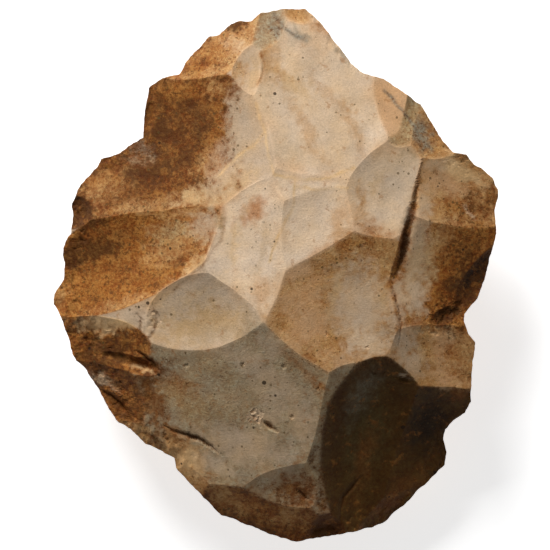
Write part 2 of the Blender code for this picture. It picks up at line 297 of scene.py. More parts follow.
# %% the plan of the grid
def disc_grid(cells):
    """Points of a square grid bent into a disc: the larger of the two coordinates is the share of the
    radius, and their ratio times 45 degrees is the angle from the nearest axis."""
    side = np.linspace(-1, 1, cells + 1)
    u, v = np.meshgrid(side, side)
    share = np.maximum(np.abs(u), np.abs(v))
    longer = np.where(np.abs(u) >= np.abs(v), u, v)
    shorter = np.where(np.abs(u) >= np.abs(v), v, u)
    ratio = np.divide(shorter, longer, out=np.zeros_like(u), where=longer != 0)
    lean = ratio * math.pi / 4
    angle = np.where(np.abs(u) >= np.abs(v), lean, math.pi / 2 - lean) + np.where(longer < 0, math.pi, 0)
    return share, angle


def half_turn(angle):
    """The same direction, as an angle between minus and plus half a turn."""
    return (angle + math.pi) % (2 * math.pi) - math.pi


def rim_radius(angle):
    """Distance from the middle of the plan to the rim's straight edges, in each direction."""
    first = corners - drawn_middle
    around = np.arctan2(first[:, 1], first[:, 0])
    order = np.argsort(around)
    first = first[order]
    around = around[order]
    second = np.roll(first, -1, axis=0)
    at = (np.searchsorted(around, half_turn(angle), side="right") - 1) % len(around)
    start = first[at]
    edge = second[at] - start
    area = start[..., 0] * edge[..., 1] - start[..., 1] * edge[..., 0]
    return area / (np.cos(angle) * edge[..., 1] - np.sin(angle) * edge[..., 0])


def towards_rim(angle, share=1):
    """The place at that share of the way from the middle of the plan to its rim."""
    away = share * rim_radius(angle)
    return drawn_middle[0] + away * np.cos(angle), drawn_middle[1] + away * np.sin(angle)


def plan_of(cells):
    """The disc's grid laid out to the rim: the grid of point numbers, those of its border once around,
    and for each point its share of the radius, its angle, x and y."""
    share, angle = disc_grid(cells)
    grid = np.arange(share.size).reshape(share.shape)
    ring = np.concatenate([grid[0, :-1], grid[:-1, -1], grid[-1, :0:-1], grid[:0:-1, 0]])
    x, y = towards_rim(angle, share)
    return grid, ring, share.ravel(), angle.ravel(), x.ravel(), y.ravel()


# %% [markdown]
# ## Small chips, steps and cracks
# Real flint has small damage on top of its big scars: chips along the rim, cracks, and steps where
# a flake broke off short. Each is a dish taken away from the face as it stands, not from the dome,
# so it cuts the same depth wherever it lies. The rim chips are scattered by a seeded random draw and
# are bigger on the left, where the photograph shows the edge crushed.

# %% cuts that the photograph shows, in the drawn millimetres
# middle x and y, half length, half width, heading, depth in millimetres, steepness
CUTS = {
    "ledge recess": (-38.2, -22.2, 7.5, 1.7, -14, 1.2, 3),
    "second ledge": (-43.2, -32, 4.6, 1.6, -36, 0.8, 3),
    "third ledge": (-39.4, -36, 4.4, 1.4, -52, 0.7, 3),
    "pit beside the crystals": (-1.6, -38.6, 1.6, 0.9, -38, 0.5, 2),
    "brim chip": (33.6, -26.8, 2.3, 1, -24, 0.7, 2),
    "notch facet": (-33.2, 40, 6, 1.5, 80, 0.9, 3),
    "foot of the point": (-52.5, -9, 3.5, 2, 60, 0.5, 2),
}
PITS = [
    (25.8, -25.2, 0.7, 0.6, 0, 0.4, 2), (11.2, -29.2, 0.6, 0.5, 0, 0.35, 2),
    (-22.8, -23.2, 0.6, 0.6, 0, 0.35, 2), (-8.3, -22.9, 0.8, 0.6, 40, 0.4, 2),
    (2.3, -23.4, 0.7, 0.9, 10, 0.4, 2), (4.5, -36.5, 0.7, 0.7, 0, 0.4, 2),
    (13.5, -15, 0.5, 0.5, 0, 0.3, 2), (24, -18.5, 0.6, 0.4, 20, 0.3, 2),
]
# cracks: depth and half width in millimetres, and the points they follow
CRACKS = {
    "groove by the wall": (1.3, 1.15, [
        (37.4, 25.4), (36.3, 19.8), (35.3, 15.4), (34, 10.6), (33.2, 5.8), (31.4, 0.5), (30.6, -2),
    ]),
    "below the groove": (0.3, 0.4, [(30.2, -1), (31.4, -6.5), (32.8, -12.4), (31.8, -19)]),
    "long crack": (1, 0.55, [
        (-29.6, -38.6), (-26.7, -40.4), (-23, -41.3), (-20.1, -42.4), (-16.4, -44.4), (-13.2, -47.4),
    ]),
    "ledge crack": (1.1, 0.6, [(-36.5, -19.4), (-34, -20.8), (-32, -22.2), (-29.6, -25)]),
    "second ledge crack": (0.8, 0.5, [(-47, -29.2), (-43.2, -31.3), (-40.5, -33.1), (-37.6, -37.6)]),
    "left foot crack": (0.6, 0.45, [(-41.5, -33), (-38.4, -34.8), (-35.4, -38.2)]),
    "crystal tail": (0.8, 0.6, [(-3.4, -37.6), (-1, -39.2), (1.2, -40.6)]),
    "foot crack": (0.7, 0.45, [(5.4, -55.4), (7.4, -57.4), (9.4, -58.8)]),
    "hollow step": (0.6, 0.6, [(24, -51.8), (20.6, -55), (18.2, -58.2), (17.5, -61), (17.3, -64)]),
    "first ring": (0.3, 0.35, [(-33, -11), (-31, -9.2), (-29.8, -11.6), (-31.4, -14.4)]),
    "second ring": (0.3, 0.35, [(-36, -9.6), (-34.4, -11.6), (-35, -14.6), (-32.2, -17.6)]),
    "third ring": (0.25, 0.3, [(-38.6, -12.4), (-37.4, -14.4), (-35, -16.6)]),
    "tip crack": (0.12, 0.25, [(-3.6, 57), (-2.8, 54.2), (-3.4, 51), (-4.8, 48.6)]),
    "upper chip": (0.15, 0.4, [(-23.6, 55.6), (-19, 54.4), (-15, 56.2), (-11.6, 56.6)]),
}
# size and amount of the noise that bends them, and the share of their width that is left at their ends
CRACK_BEND = ((2.6, 0.3),)
CRACK_END = 0.35


def dish(x, y, *oval, depth, steepness):
    """Depth taken away: depth (1 - out^steepness) inside the dish's oval, nothing outside it."""
    return depth * np.clip(1 - out_of(x, y, *oval) ** (steepness / 2), 0, None)


def on_line(x, y, ends):
    """For each point, the distance to the nearest place on the straight pieces between those ends, and
    that place's share of the whole way. The share along one piece is (point . way) / (way . way)."""
    lengths = [math.dist(one, two) for one, two in zip(ends, ends[1:])]
    nearest = np.full_like(x, np.inf)
    share = np.zeros_like(x)
    behind = 0.0
    for (from_x, from_y), (to_x, to_y), length in zip(ends, ends[1:], lengths):
        way_x, way_y = to_x - from_x, to_y - from_y
        part = np.clip(((x - from_x) * way_x + (y - from_y) * way_y) / length**2, 0, 1)
        away = np.hypot(x - from_x - part * way_x, y - from_y - part * way_y)
        share = np.where(away < nearest, (behind + part * length) / sum(lengths), share)
        nearest = np.minimum(nearest, away)
        behind += length
    return nearest, share


def bell(distance, width):
    """e^-(distance / width)^2: 1 at no distance, and nearly 0 at twice the width."""
    return np.exp(-((distance / width) ** 2))


def crack(bent_x, bent_y, depth, half_width, ends):
    """Depth that a crack takes away, in a bent plan. It swells from nothing at both ends by the sine of
    the way along, and so does the width, from the share CRACK_END of itself."""
    nearest, share = on_line(bent_x, bent_y, ends)
    swell = np.clip(np.sin(math.pi * share), 0, 1)
    return depth * swell * bell(nearest, half_width * (CRACK_END + (1 - CRACK_END) * swell))


# %% chips along the rim
# how much wider the chips are on the crushed side, their depth as a share of their width, and their length
CRUSHED_SIDE = math.radians(195)
PLAIN_CHIP = 0.75
CRUSHED_CHIP = 0.35
CHIP_DEPTH = (0.12, 0.30)
CHIP_LENGTH = 1.3
BITE = 0.17


def rim_chips(count, least, most, seed):
    """Chips scattered around the rim: angle, half width and depth in millimetres. Those on the crushed
    side are bigger, by a cosine of the angle away from it."""
    random = np.random.default_rng(seed)
    chip_angle = 2 * math.pi * (np.arange(count) + random.uniform(-0.5, 0.5, count)) / count
    width = least + (most - least) * random.uniform(0, 1, count) ** 2
    width *= PLAIN_CHIP + CRUSHED_CHIP * np.cos(chip_angle - CRUSHED_SIDE)
    return np.column_stack([chip_angle, width, width * random.uniform(*CHIP_DEPTH, count)])


def chipped(x, y, chips):
    """Depth that the rim chips take away at each point: the deepest of their dishes."""
    depth = np.zeros_like(x)
    for chip_angle, width, deep in chips:
        oval = (*towards_rim(chip_angle), CHIP_LENGTH * width, width, math.degrees(chip_angle))
        depth = np.maximum(depth, dish(x, y, *oval, depth=deep, steepness=2))
    return depth


def nibbled(angle, chips):
    """How far the chips bite into the outline: the share BITE of a chip's half width at its middle, less
    towards its sides."""
    bite = np.zeros_like(angle)
    for chip_angle, width, _ in chips:
        arc = half_turn(angle - chip_angle) * rim_radius(chip_angle)
        bite = np.maximum(bite, BITE * width * np.clip(1 - (arc / width) ** 2, 0, None))
    return bite


TOP_CHIPS = np.concatenate([rim_chips(95, 0.8, 3.6, 5), rim_chips(240, 0.4, 1.5, 8)])
UNDER_CHIPS = rim_chips(60, 1.2, 4.5, 6)
print(f"{len(CUTS) + len(PITS)} cuts, {len(CRACKS)} cracks and {len(TOP_CHIPS) + len(UNDER_CHIPS)} rim chips")

# %% points beside a ridge are moved onto it
# the step is in millimetres, the slope in metres a millimetre, the match in metres, and the thinnest
# triangle in square millimetres, twice over
SLOPE_STEP = 0.01
LEAST_SLOPE = 1e-8
RIDGE_MATCH = 2e-6
THINNEST = 0.02


def two_lowest(x, y):
    """Rows of the two lowest surfaces at each point."""
    return np.argpartition(face_heights(x, y), 1, axis=0)[:2]


def gap_and_slope(x, y, two):
    """How far apart those two surfaces are in height, and how the gap changes along x and y."""
    def gap(px, py):
        low, high = np.take_along_axis(face_heights(px, py), two, axis=0)
        return high - low

    slope_x = (gap(x + SLOPE_STEP, y) - gap(x - SLOPE_STEP, y)) / (2 * SLOPE_STEP)
    slope_y = (gap(x, y + SLOPE_STEP) - gap(x, y - SLOPE_STEP)) / (2 * SLOPE_STEP)
    return gap(x, y), slope_x, slope_y


def spacing_across(grid, x, y, slope_x, slope_y):
    """Spacing of the grid's points at each point, measured across the ridge, whose gap has this slope."""
    across = np.zeros_like(x)
    for axis in (0, 1):
        side_x = np.gradient(x[grid], axis=axis).ravel()
        side_y = np.gradient(y[grid], axis=axis).ravel()
        across = np.maximum(across, np.abs(side_x * slope_x + side_y * slope_y))
    return across / (np.hypot(slope_x, slope_y) + LEAST_SLOPE)


def cell_corners(grid):
    """The four corners of each cell, in order around it."""
    return grid[:-1, :-1], grid[:-1, 1:], grid[1:, 1:], grid[1:, :-1]


def thinner_halves(grid, x, y):
    """Twice the area of the smaller of a cell's two triangles, when it is cut from its first corner to
    its third, and when it is cut from its second to its fourth. One that faces down is negative."""
    a, b, c, d = cell_corners(grid)

    def area(p, q, r):
        return (x[q] - x[p]) * (y[r] - y[p]) - (y[q] - y[p]) * (x[r] - x[p])

    return np.minimum(area(a, b, c), area(a, c, d)), np.minimum(area(a, b, d), area(b, c, d))


def fold_over(grid, x, y):
    """Which points belong to a cell that can't be cut into two triangles that both face up."""
    bad = np.maximum(*thinner_halves(grid, x, y)) < THINNEST
    found = np.zeros(len(x), bool)
    for corner in cell_corners(grid):
        found[corner[bad]] = True
    return found


def onto_ridges(grid, x, y, inside):
    """Moves each inner point that lies by a ridge straight onto it: the gap between the two lowest
    surfaces, divided by its slope, is the way to go."""
    two = two_lowest(x, y)
    to_x, to_y = x.copy(), y.copy()
    reach = None
    for _ in range(3):
        here, slope_x, slope_y = gap_and_slope(to_x, to_y, two)
        if reach is None:
            reach = spacing_across(grid, x, y, slope_x, slope_y) / 2
        steepness = slope_x**2 + slope_y**2 + LEAST_SLOPE**2
        to_x = to_x - here * slope_x / steepness
        to_y = to_y - here * slope_y / steepness
    near = inside & (np.hypot(to_x - x, to_y - y) <= reach)
    rows = face_heights(np.where(near, to_x, x), np.where(near, to_y, y))
    near &= np.take_along_axis(rows, two, axis=0).max(axis=0) - rows.min(axis=0) < RIDGE_MATCH
    # a cell that these moves would fold over keeps its corners where they were
    for _ in range(3):
        folded = fold_over(grid, np.where(near, to_x, x), np.where(near, to_y, y))
        near &= ~folded
    return np.where(near, to_x, x), np.where(near, to_y, y)


# %% the top grid
TOP_CELLS = 280
NIBBLE_FADE = 24

grid, ring, share, angle, x, y = plan_of(TOP_CELLS)
for corner_x, corner_y in corners:
    nearest = ring[np.argmin(np.hypot(x[ring] - corner_x, y[ring] - corner_y))]
    x[nearest], y[nearest] = corner_x, corner_y
plain_x = x
x, y = onto_ridges(grid, x, y, share < 1)
moved = (x != plain_x).sum()
bite = nibbled(angle, TOP_CHIPS) * share**NIBBLE_FADE
x -= bite * np.cos(angle)
y -= bite * np.sin(angle)
print(f"{len(x)} points on the worked face, {moved} of them moved onto a ridge")

# %% soft patches with ragged edges
RAGGED_SIZES = ((6.5, 1.2), (2.2, 0.8), (0.9, 0.3))
GRIT = 0.30
GRIT_SIZE = 1.7
SOFT = 0.9
PAST_THE_OVAL = 0.15

ragged_x, ragged_y = bent(x, y, RAGGED_SIZES, 61, 67, layered)
grit = GRIT * layered(x, y, GRIT_SIZE, 113, 2)


def soft_patch(middle_x, middle_y, half_length, half_width, heading, softness=SOFT):
    """1 in the middle of an oval and 0 outside it. It falls over the last share `softness` of the way
    out along the curve 3t^2 - 2t^3, in a plan bent by noise, so that the edge comes out ragged, and
    fine noise is added before the curve, so that it comes out gritty too."""
    out = np.sqrt(out_of(ragged_x, ragged_y, middle_x, middle_y, half_length, half_width, heading))
    fall = np.clip((1 + PAST_THE_OVAL - out) / (softness + PAST_THE_OVAL) + grit, 0, 1)
    return fall**2 * (3 - 2 * fall)


# %% where the flint is crushed or still has its crust
# small dishes that meet in sharp ridges: minus the size of smooth noise has a sharp ridge where the noise is
# zero. Depth in millimetres, middle x and y, half length, half width, heading
ROUGH_PATCHES = [
    (0.4, 52, 19, 7.5, 3.4, 105), (0.8, 45, -10, 8, 4.5, 30), (0.8, -48, -16, 11, 6, -25),
    (1, -43.5, -30, 14, 6.5, -42), (0.7, -31, -43.5, 13, 4, -35), (0.35, -34, -13.5, 7, 4, 60),
    (0.8, 14, -66, 10, 4.5, 4), (0.5, 45, -47, 12, 4, 70), (0.5, -24, 56.5, 11, 3.5, 44),
    (0.8, -51.5, 14, 9, 4.5, 80), (0.6, -53, -2, 9, 4, 80), (0.6, -38, 31, 10, 3.6, 25),
    (0.4, 47, 31, 9, 3, -35), (0.5, 30, -62.5, 12, 4, 30),
]
CRUSH_SIZE = 4.5
# one small patch is made of crystals, which stand as finer and deeper dishes
CRYSTAL_PATCH = (-4.7, -36.4, 2.7, 2.2, -60, 0.4)
CRYSTAL_DEPTH = 0.70
CRYSTAL_SIZE = 1.2

hackles = sum(np.abs(noise(ragged_x, ragged_y, CRUSH_SIZE / 2**k, 91 + k)) / 2**k for k in range(3))
rough = np.zeros_like(x)
for height, *place in ROUGH_PATCHES:
    rough = np.maximum(rough, height * soft_patch(*place))
crystals = CRYSTAL_DEPTH * soft_patch(*CRYSTAL_PATCH) * np.abs(noise(x, y, CRYSTAL_SIZE, 97))
print(f"{(rough > 0.05).mean():.0%} of the worked face is rough")

# %% heights of the worked face
WAVES = ((13, 0.12), (4.2, 0.055), (1.5, 0.020))
# lowers the whole face, in millimetres, so that no wave rises out of the solid's box
TOP_SINK = 0.13

two = two_lowest(x, y)
gap, gap_slope_x, gap_slope_y = gap_and_slope(x, y, two)
ridge_away = gap / (np.hypot(gap_slope_x, gap_slope_y) + LEAST_SLOPE)
rows = face_heights(x, y)
lowest = rows.min(axis=0)
cut = chipped(x, y, TOP_CHIPS)
for *oval, depth, steepness in [*CUTS.values(), *PITS]:
    cut = np.maximum(cut, dish(x, y, *oval, depth=depth, steepness=steepness))
crack_plan = bent(x, y, CRACK_BEND, 51, 53, layered)
cracked = np.zeros_like(x)
for depth, half_width, ends in CRACKS.values():
    cracked = np.maximum(cracked, crack(*crack_plan, depth, half_width, ends))
waves = sum(amount * noise(x, y, size, 31) for size, amount in WAVES)
z = lowest - (cut + cracked + rough * hackles + crystals + TOP_SINK + waves) / 1000
print(f"heights from {1000 * z.min():.1f} to {1000 * z.max():.1f} mm")

# %% [markdown]
# ## The underside
# Nobody sees it in the photograph, so it is a plainer version of the top: a flat seat in the
# middle, and steep scars rising from it to the rim, where the blows landed.

# %% the underside
# the seat, the scars' depth, the edge and SEAT_FADE_HEIGHT are in metres, the scars' half length and half
# width and the waves in millimetres, and SMOOTHED_ARC in degrees; the rest are shares and counts
SEAT_LENGTH = 0.046
SEAT_WIDTH = 0.036
UNDER_SCAR_DEPTH = 0.0035
UNDER_POWER = 2.0
UNDER_SCARS = 11
UNDER_HALF_LENGTH = 22
UNDER_HALF_WIDTH = 13
UNDER_PLACE = 0.64
UNDER_STRAY = 0.12
UNDER_SMALLER = 0.25
UNDER_FADE = 0.15
SMOOTHED_ARC = 50
RIM_STEPS = 720
CORNER_FADE = 6
EDGE_THICKNESS = 0.0008
EDGE_VARIES = 0.35
UNDER_WAVES = 0.10
UNDER_WAVE_SIZE = 9
UNDER_SINK = 0.15
SEAT_FADE_HEIGHT = 0.004
RIM_FADE = 0.03


def smoothed(values):
    """A running mean, over SMOOTHED_ARC, of values given at equal steps around the rim."""
    reach = round(len(values) * SMOOTHED_ARC / (2 * 360))
    return np.mean([np.roll(values, shift) for shift in range(-reach, reach + 1)], axis=0)


def around_rim(angle, own_angle, own_values):
    """Values at the rim points, carried inwards along each direction: as they are, and smoothed."""
    even = np.linspace(-math.pi, math.pi, RIM_STEPS, endpoint=False)
    order = np.argsort(own_angle)
    level = np.interp(even, own_angle[order], own_values[order], period=2 * math.pi)
    exact = np.interp(angle, own_angle[order], own_values[order], period=2 * math.pi)
    return exact, np.interp(angle, even, smoothed(level), period=2 * math.pi)


def under_height(x, y, share, ring, rim_below):
    """The underside is rim height times rise^UNDER_POWER, where rise goes from 0 at the oval seat to 1
    at the rim, plus for each scar depth (1 - out^2), where out is 1 on the scar's oval."""
    plan_x = (x - drawn_middle[0]) * plan_scale[0]
    plan_y = (y - drawn_middle[1]) * plan_scale[1]
    radius = np.hypot(plan_x, plan_y)
    angle = np.arctan2(plan_y, plan_x)
    seat = 1 / np.hypot(np.cos(angle) / (SEAT_WIDTH / 2), np.sin(angle) / (SEAT_LENGTH / 2))
    corner_part = share**CORNER_FADE
    rim, smooth_rim = around_rim(angle, angle[ring], radius[ring])
    below, smooth_below = around_rim(angle, angle[ring], rim_below)
    rim = smooth_rim + (rim - smooth_rim) * corner_part
    below = smooth_below + (below - smooth_below) * corner_part
    rise = np.clip((radius - seat) / (rim - seat), 0, 1)
    lift = np.zeros_like(x)
    for number in range(UNDER_SCARS):
        turn = 2 * math.pi * number / UNDER_SCARS + UNDER_STRAY * math.sin(number**2)
        size = 1 - UNDER_SMALLER * (number % 2)
        oval = (*towards_rim(turn, UNDER_PLACE), UNDER_HALF_LENGTH * size, UNDER_HALF_WIDTH)
        out = out_of(x, y, *oval, math.degrees(turn))
        lift = np.maximum(lift, UNDER_SCAR_DEPTH * size * (1 - out))
    fade = np.clip(rise / UNDER_FADE, 0, 1) * np.clip((1 - rise) / UNDER_FADE, 0, 1)
    return below * rise**UNDER_POWER + lift * fade


under_grid, under_ring, under_share, under_angle, under_x, under_y = plan_of(TOP_CELLS // 2)
edge_x, edge_y = x[ring[::2]], y[ring[::2]]
under_x[under_ring], under_y[under_ring] = edge_x, edge_y
thickness = EDGE_THICKNESS * (1 + EDGE_VARIES * noise(edge_x, edge_y, 3, 41))
under_z = under_height(under_x, under_y, under_share, under_ring, z[ring[::2]] - thickness)
under_cut = chipped(under_x, under_y, UNDER_CHIPS) + UNDER_SINK
under_cut += UNDER_WAVES * layered(under_x, under_y, UNDER_WAVE_SIZE, 47)
# chips and waves fade out towards the seat, which stays flat, and towards the rim, which joins the top
seat_fade = np.clip(under_z / SEAT_FADE_HEIGHT, 0, 1) * np.clip((1 - under_share) / RIM_FADE, 0, 1)
under_z += under_cut / 1000 * seat_fade
print(f"{len(under_x)} points on the underside")

# %% the mesh
MUCH_THINNER = 0.25
SHARP_FROM = 16


def split_quads(grid, x, y, heights, middle_heights):
    """Two triangles for each cell, cut along the diagonal that lies closer to the true height in the
    cell's middle, unless that cut leaves a triangle much thinner than the other cut does."""
    a, b, c, d = cell_corners(grid)
    thin_ac, thin_bd = thinner_halves(grid, x, y)
    off_ac = np.abs((heights[a] + heights[c]) / 2 - middle_heights)
    off_bd = np.abs((heights[b] + heights[d]) / 2 - middle_heights)
    one_is_thin = np.minimum(thin_ac, thin_bd) < MUCH_THINNER * np.maximum(thin_ac, thin_bd)
    cut_ac = np.where(one_is_thin, thin_ac > thin_bd, off_ac <= off_bd)[..., None]
    first = np.where(cut_ac, np.stack([a, b, c], -1), np.stack([a, b, d], -1))
    second = np.where(cut_ac, np.stack([a, c, d], -1), np.stack([b, c, d], -1))
    return np.concatenate([first.reshape(-1, 3), second.reshape(-1, 3)])


def cell_middles(grid, values):
    """Mean of each cell's four corners."""
    return sum(values[corner] for corner in cell_corners(grid)) / 4


def edge_band(fine, coarse):
    """Triangles between a ring and one with half as many points below it, three to each coarse edge."""
    first, middle, last = fine[::2], fine[1::2], np.roll(fine[::2], -1)
    after = np.roll(coarse, -1)
    return np.concatenate([
        np.stack([coarse, middle, first], -1),
        np.stack([coarse, after, middle], -1),
        np.stack([after, last, middle], -1),
    ])


count = len(x)
faces = np.concatenate([
    split_quads(grid, x, y, z, face_heights(cell_middles(grid, x), cell_middles(grid, y)).min(axis=0)),
    split_quads(under_grid, under_x, under_y, under_z, cell_middles(under_grid, under_z))[:, ::-1] + count,
    edge_band(ring, under_ring + count),
])
plan = np.column_stack([np.concatenate([x, under_x]), np.concatenate([y, under_y])])
points = np.column_stack([(plan - drawn_middle) * plan_scale, np.concatenate([z, under_z])])
core_mesh = bpy.data.meshes.new("flint core")
core_mesh.from_pydata(points.tolist(), [], faces.tolist())
core_mesh.polygons.foreach_set("use_smooth", np.ones(len(faces), bool))
core_mesh.set_sharp_from_angle(angle=math.radians(SHARP_FROM))
core = bpy.data.objects.new("flint_core", core_mesh)
bpy.context.scene.collection.objects.link(core)
print(f"{len(points)} points and {len(faces)} triangles")

# %% [markdown]
# ## The patina
# Flint is grey to black inside. In the ground its skin turns cream or beige, iron stains it from
# yellow ochre to dark umber, and manganese leaves black specks. The photograph shows every one of
# these. Each scar gets its own ground tone, because scars struck at different times have weathered
# for a different time; neighbours blend where the ridge between them is low. Stains are then laid
# over the ground as soft patches with ragged edges. All of this goes into the mesh as colours and
# masks at its points, and the material adds what is finer than the mesh. Some patches are painted light, not
# patina: shade in the hollow, on the dark right edge and along cracks, a sheen in the shoulder, and
# highlights on worn ridges and a ledge.

# %% tones, as red, green and blue in linear light
TONES = {
    "bone": (0.92, 0.68, 0.460),
    "honey": (0.84, 0.55, 0.27),
    "cream": (0.765, 0.555, 0.362),
    "beige": (0.66, 0.47, 0.30),
    "greige": (0.58, 0.43, 0.28),
    "grey": (0.44, 0.315, 0.182),
    "slate": (0.235, 0.195, 0.138),
    "yellow": (0.66, 0.42, 0.20),
    "dun": (0.45, 0.285, 0.13),
    "peach": (0.72, 0.42, 0.21),
    "pink": (0.60, 0.29, 0.135),
    "tan": (0.53, 0.27, 0.095),
    "ochre": (0.400, 0.148, 0.029),
    "brown": (0.250, 0.087, 0.018),
    "umber": (0.115, 0.040, 0.008),
    "olive": (0.115, 0.072, 0.022),
    "bistre": (0.105, 0.047, 0.010),
    "black": (0.03, 0.016, 0.008),
}
# the dark grounds of the right nick, the black edge and the hollows stand partly for painted shade
SCAR_TONES = {
    "top": "cream", "strip one": "peach", "strip two": "dun", "strip three": "tan",
    "shoulder": "brown", "left fan": "ochre", "left nick": "umber",
    "tongue": "beige", "upper left": "tan", "blue": "grey", "tip": "tan",
    "middle": "bone", "pink": "bone", "bevel": "bone", "window": "cream", "tan": "tan",
    "cup": "cream", "crust": "tan", "step": "ochre", "right nick": "umber", "black edge": "umber",
    "right": "tan", "lower": "grey", "grey strip": "grey", "foot": "grey",
    "hollow": "bistre", "hollow side": "bistre", "hollow foot": "bistre", "end": "umber",
    "lower edge": "brown", "lower left": "tan", "ledge": "brown", "left step": "brown", "left point": "ochre",
}

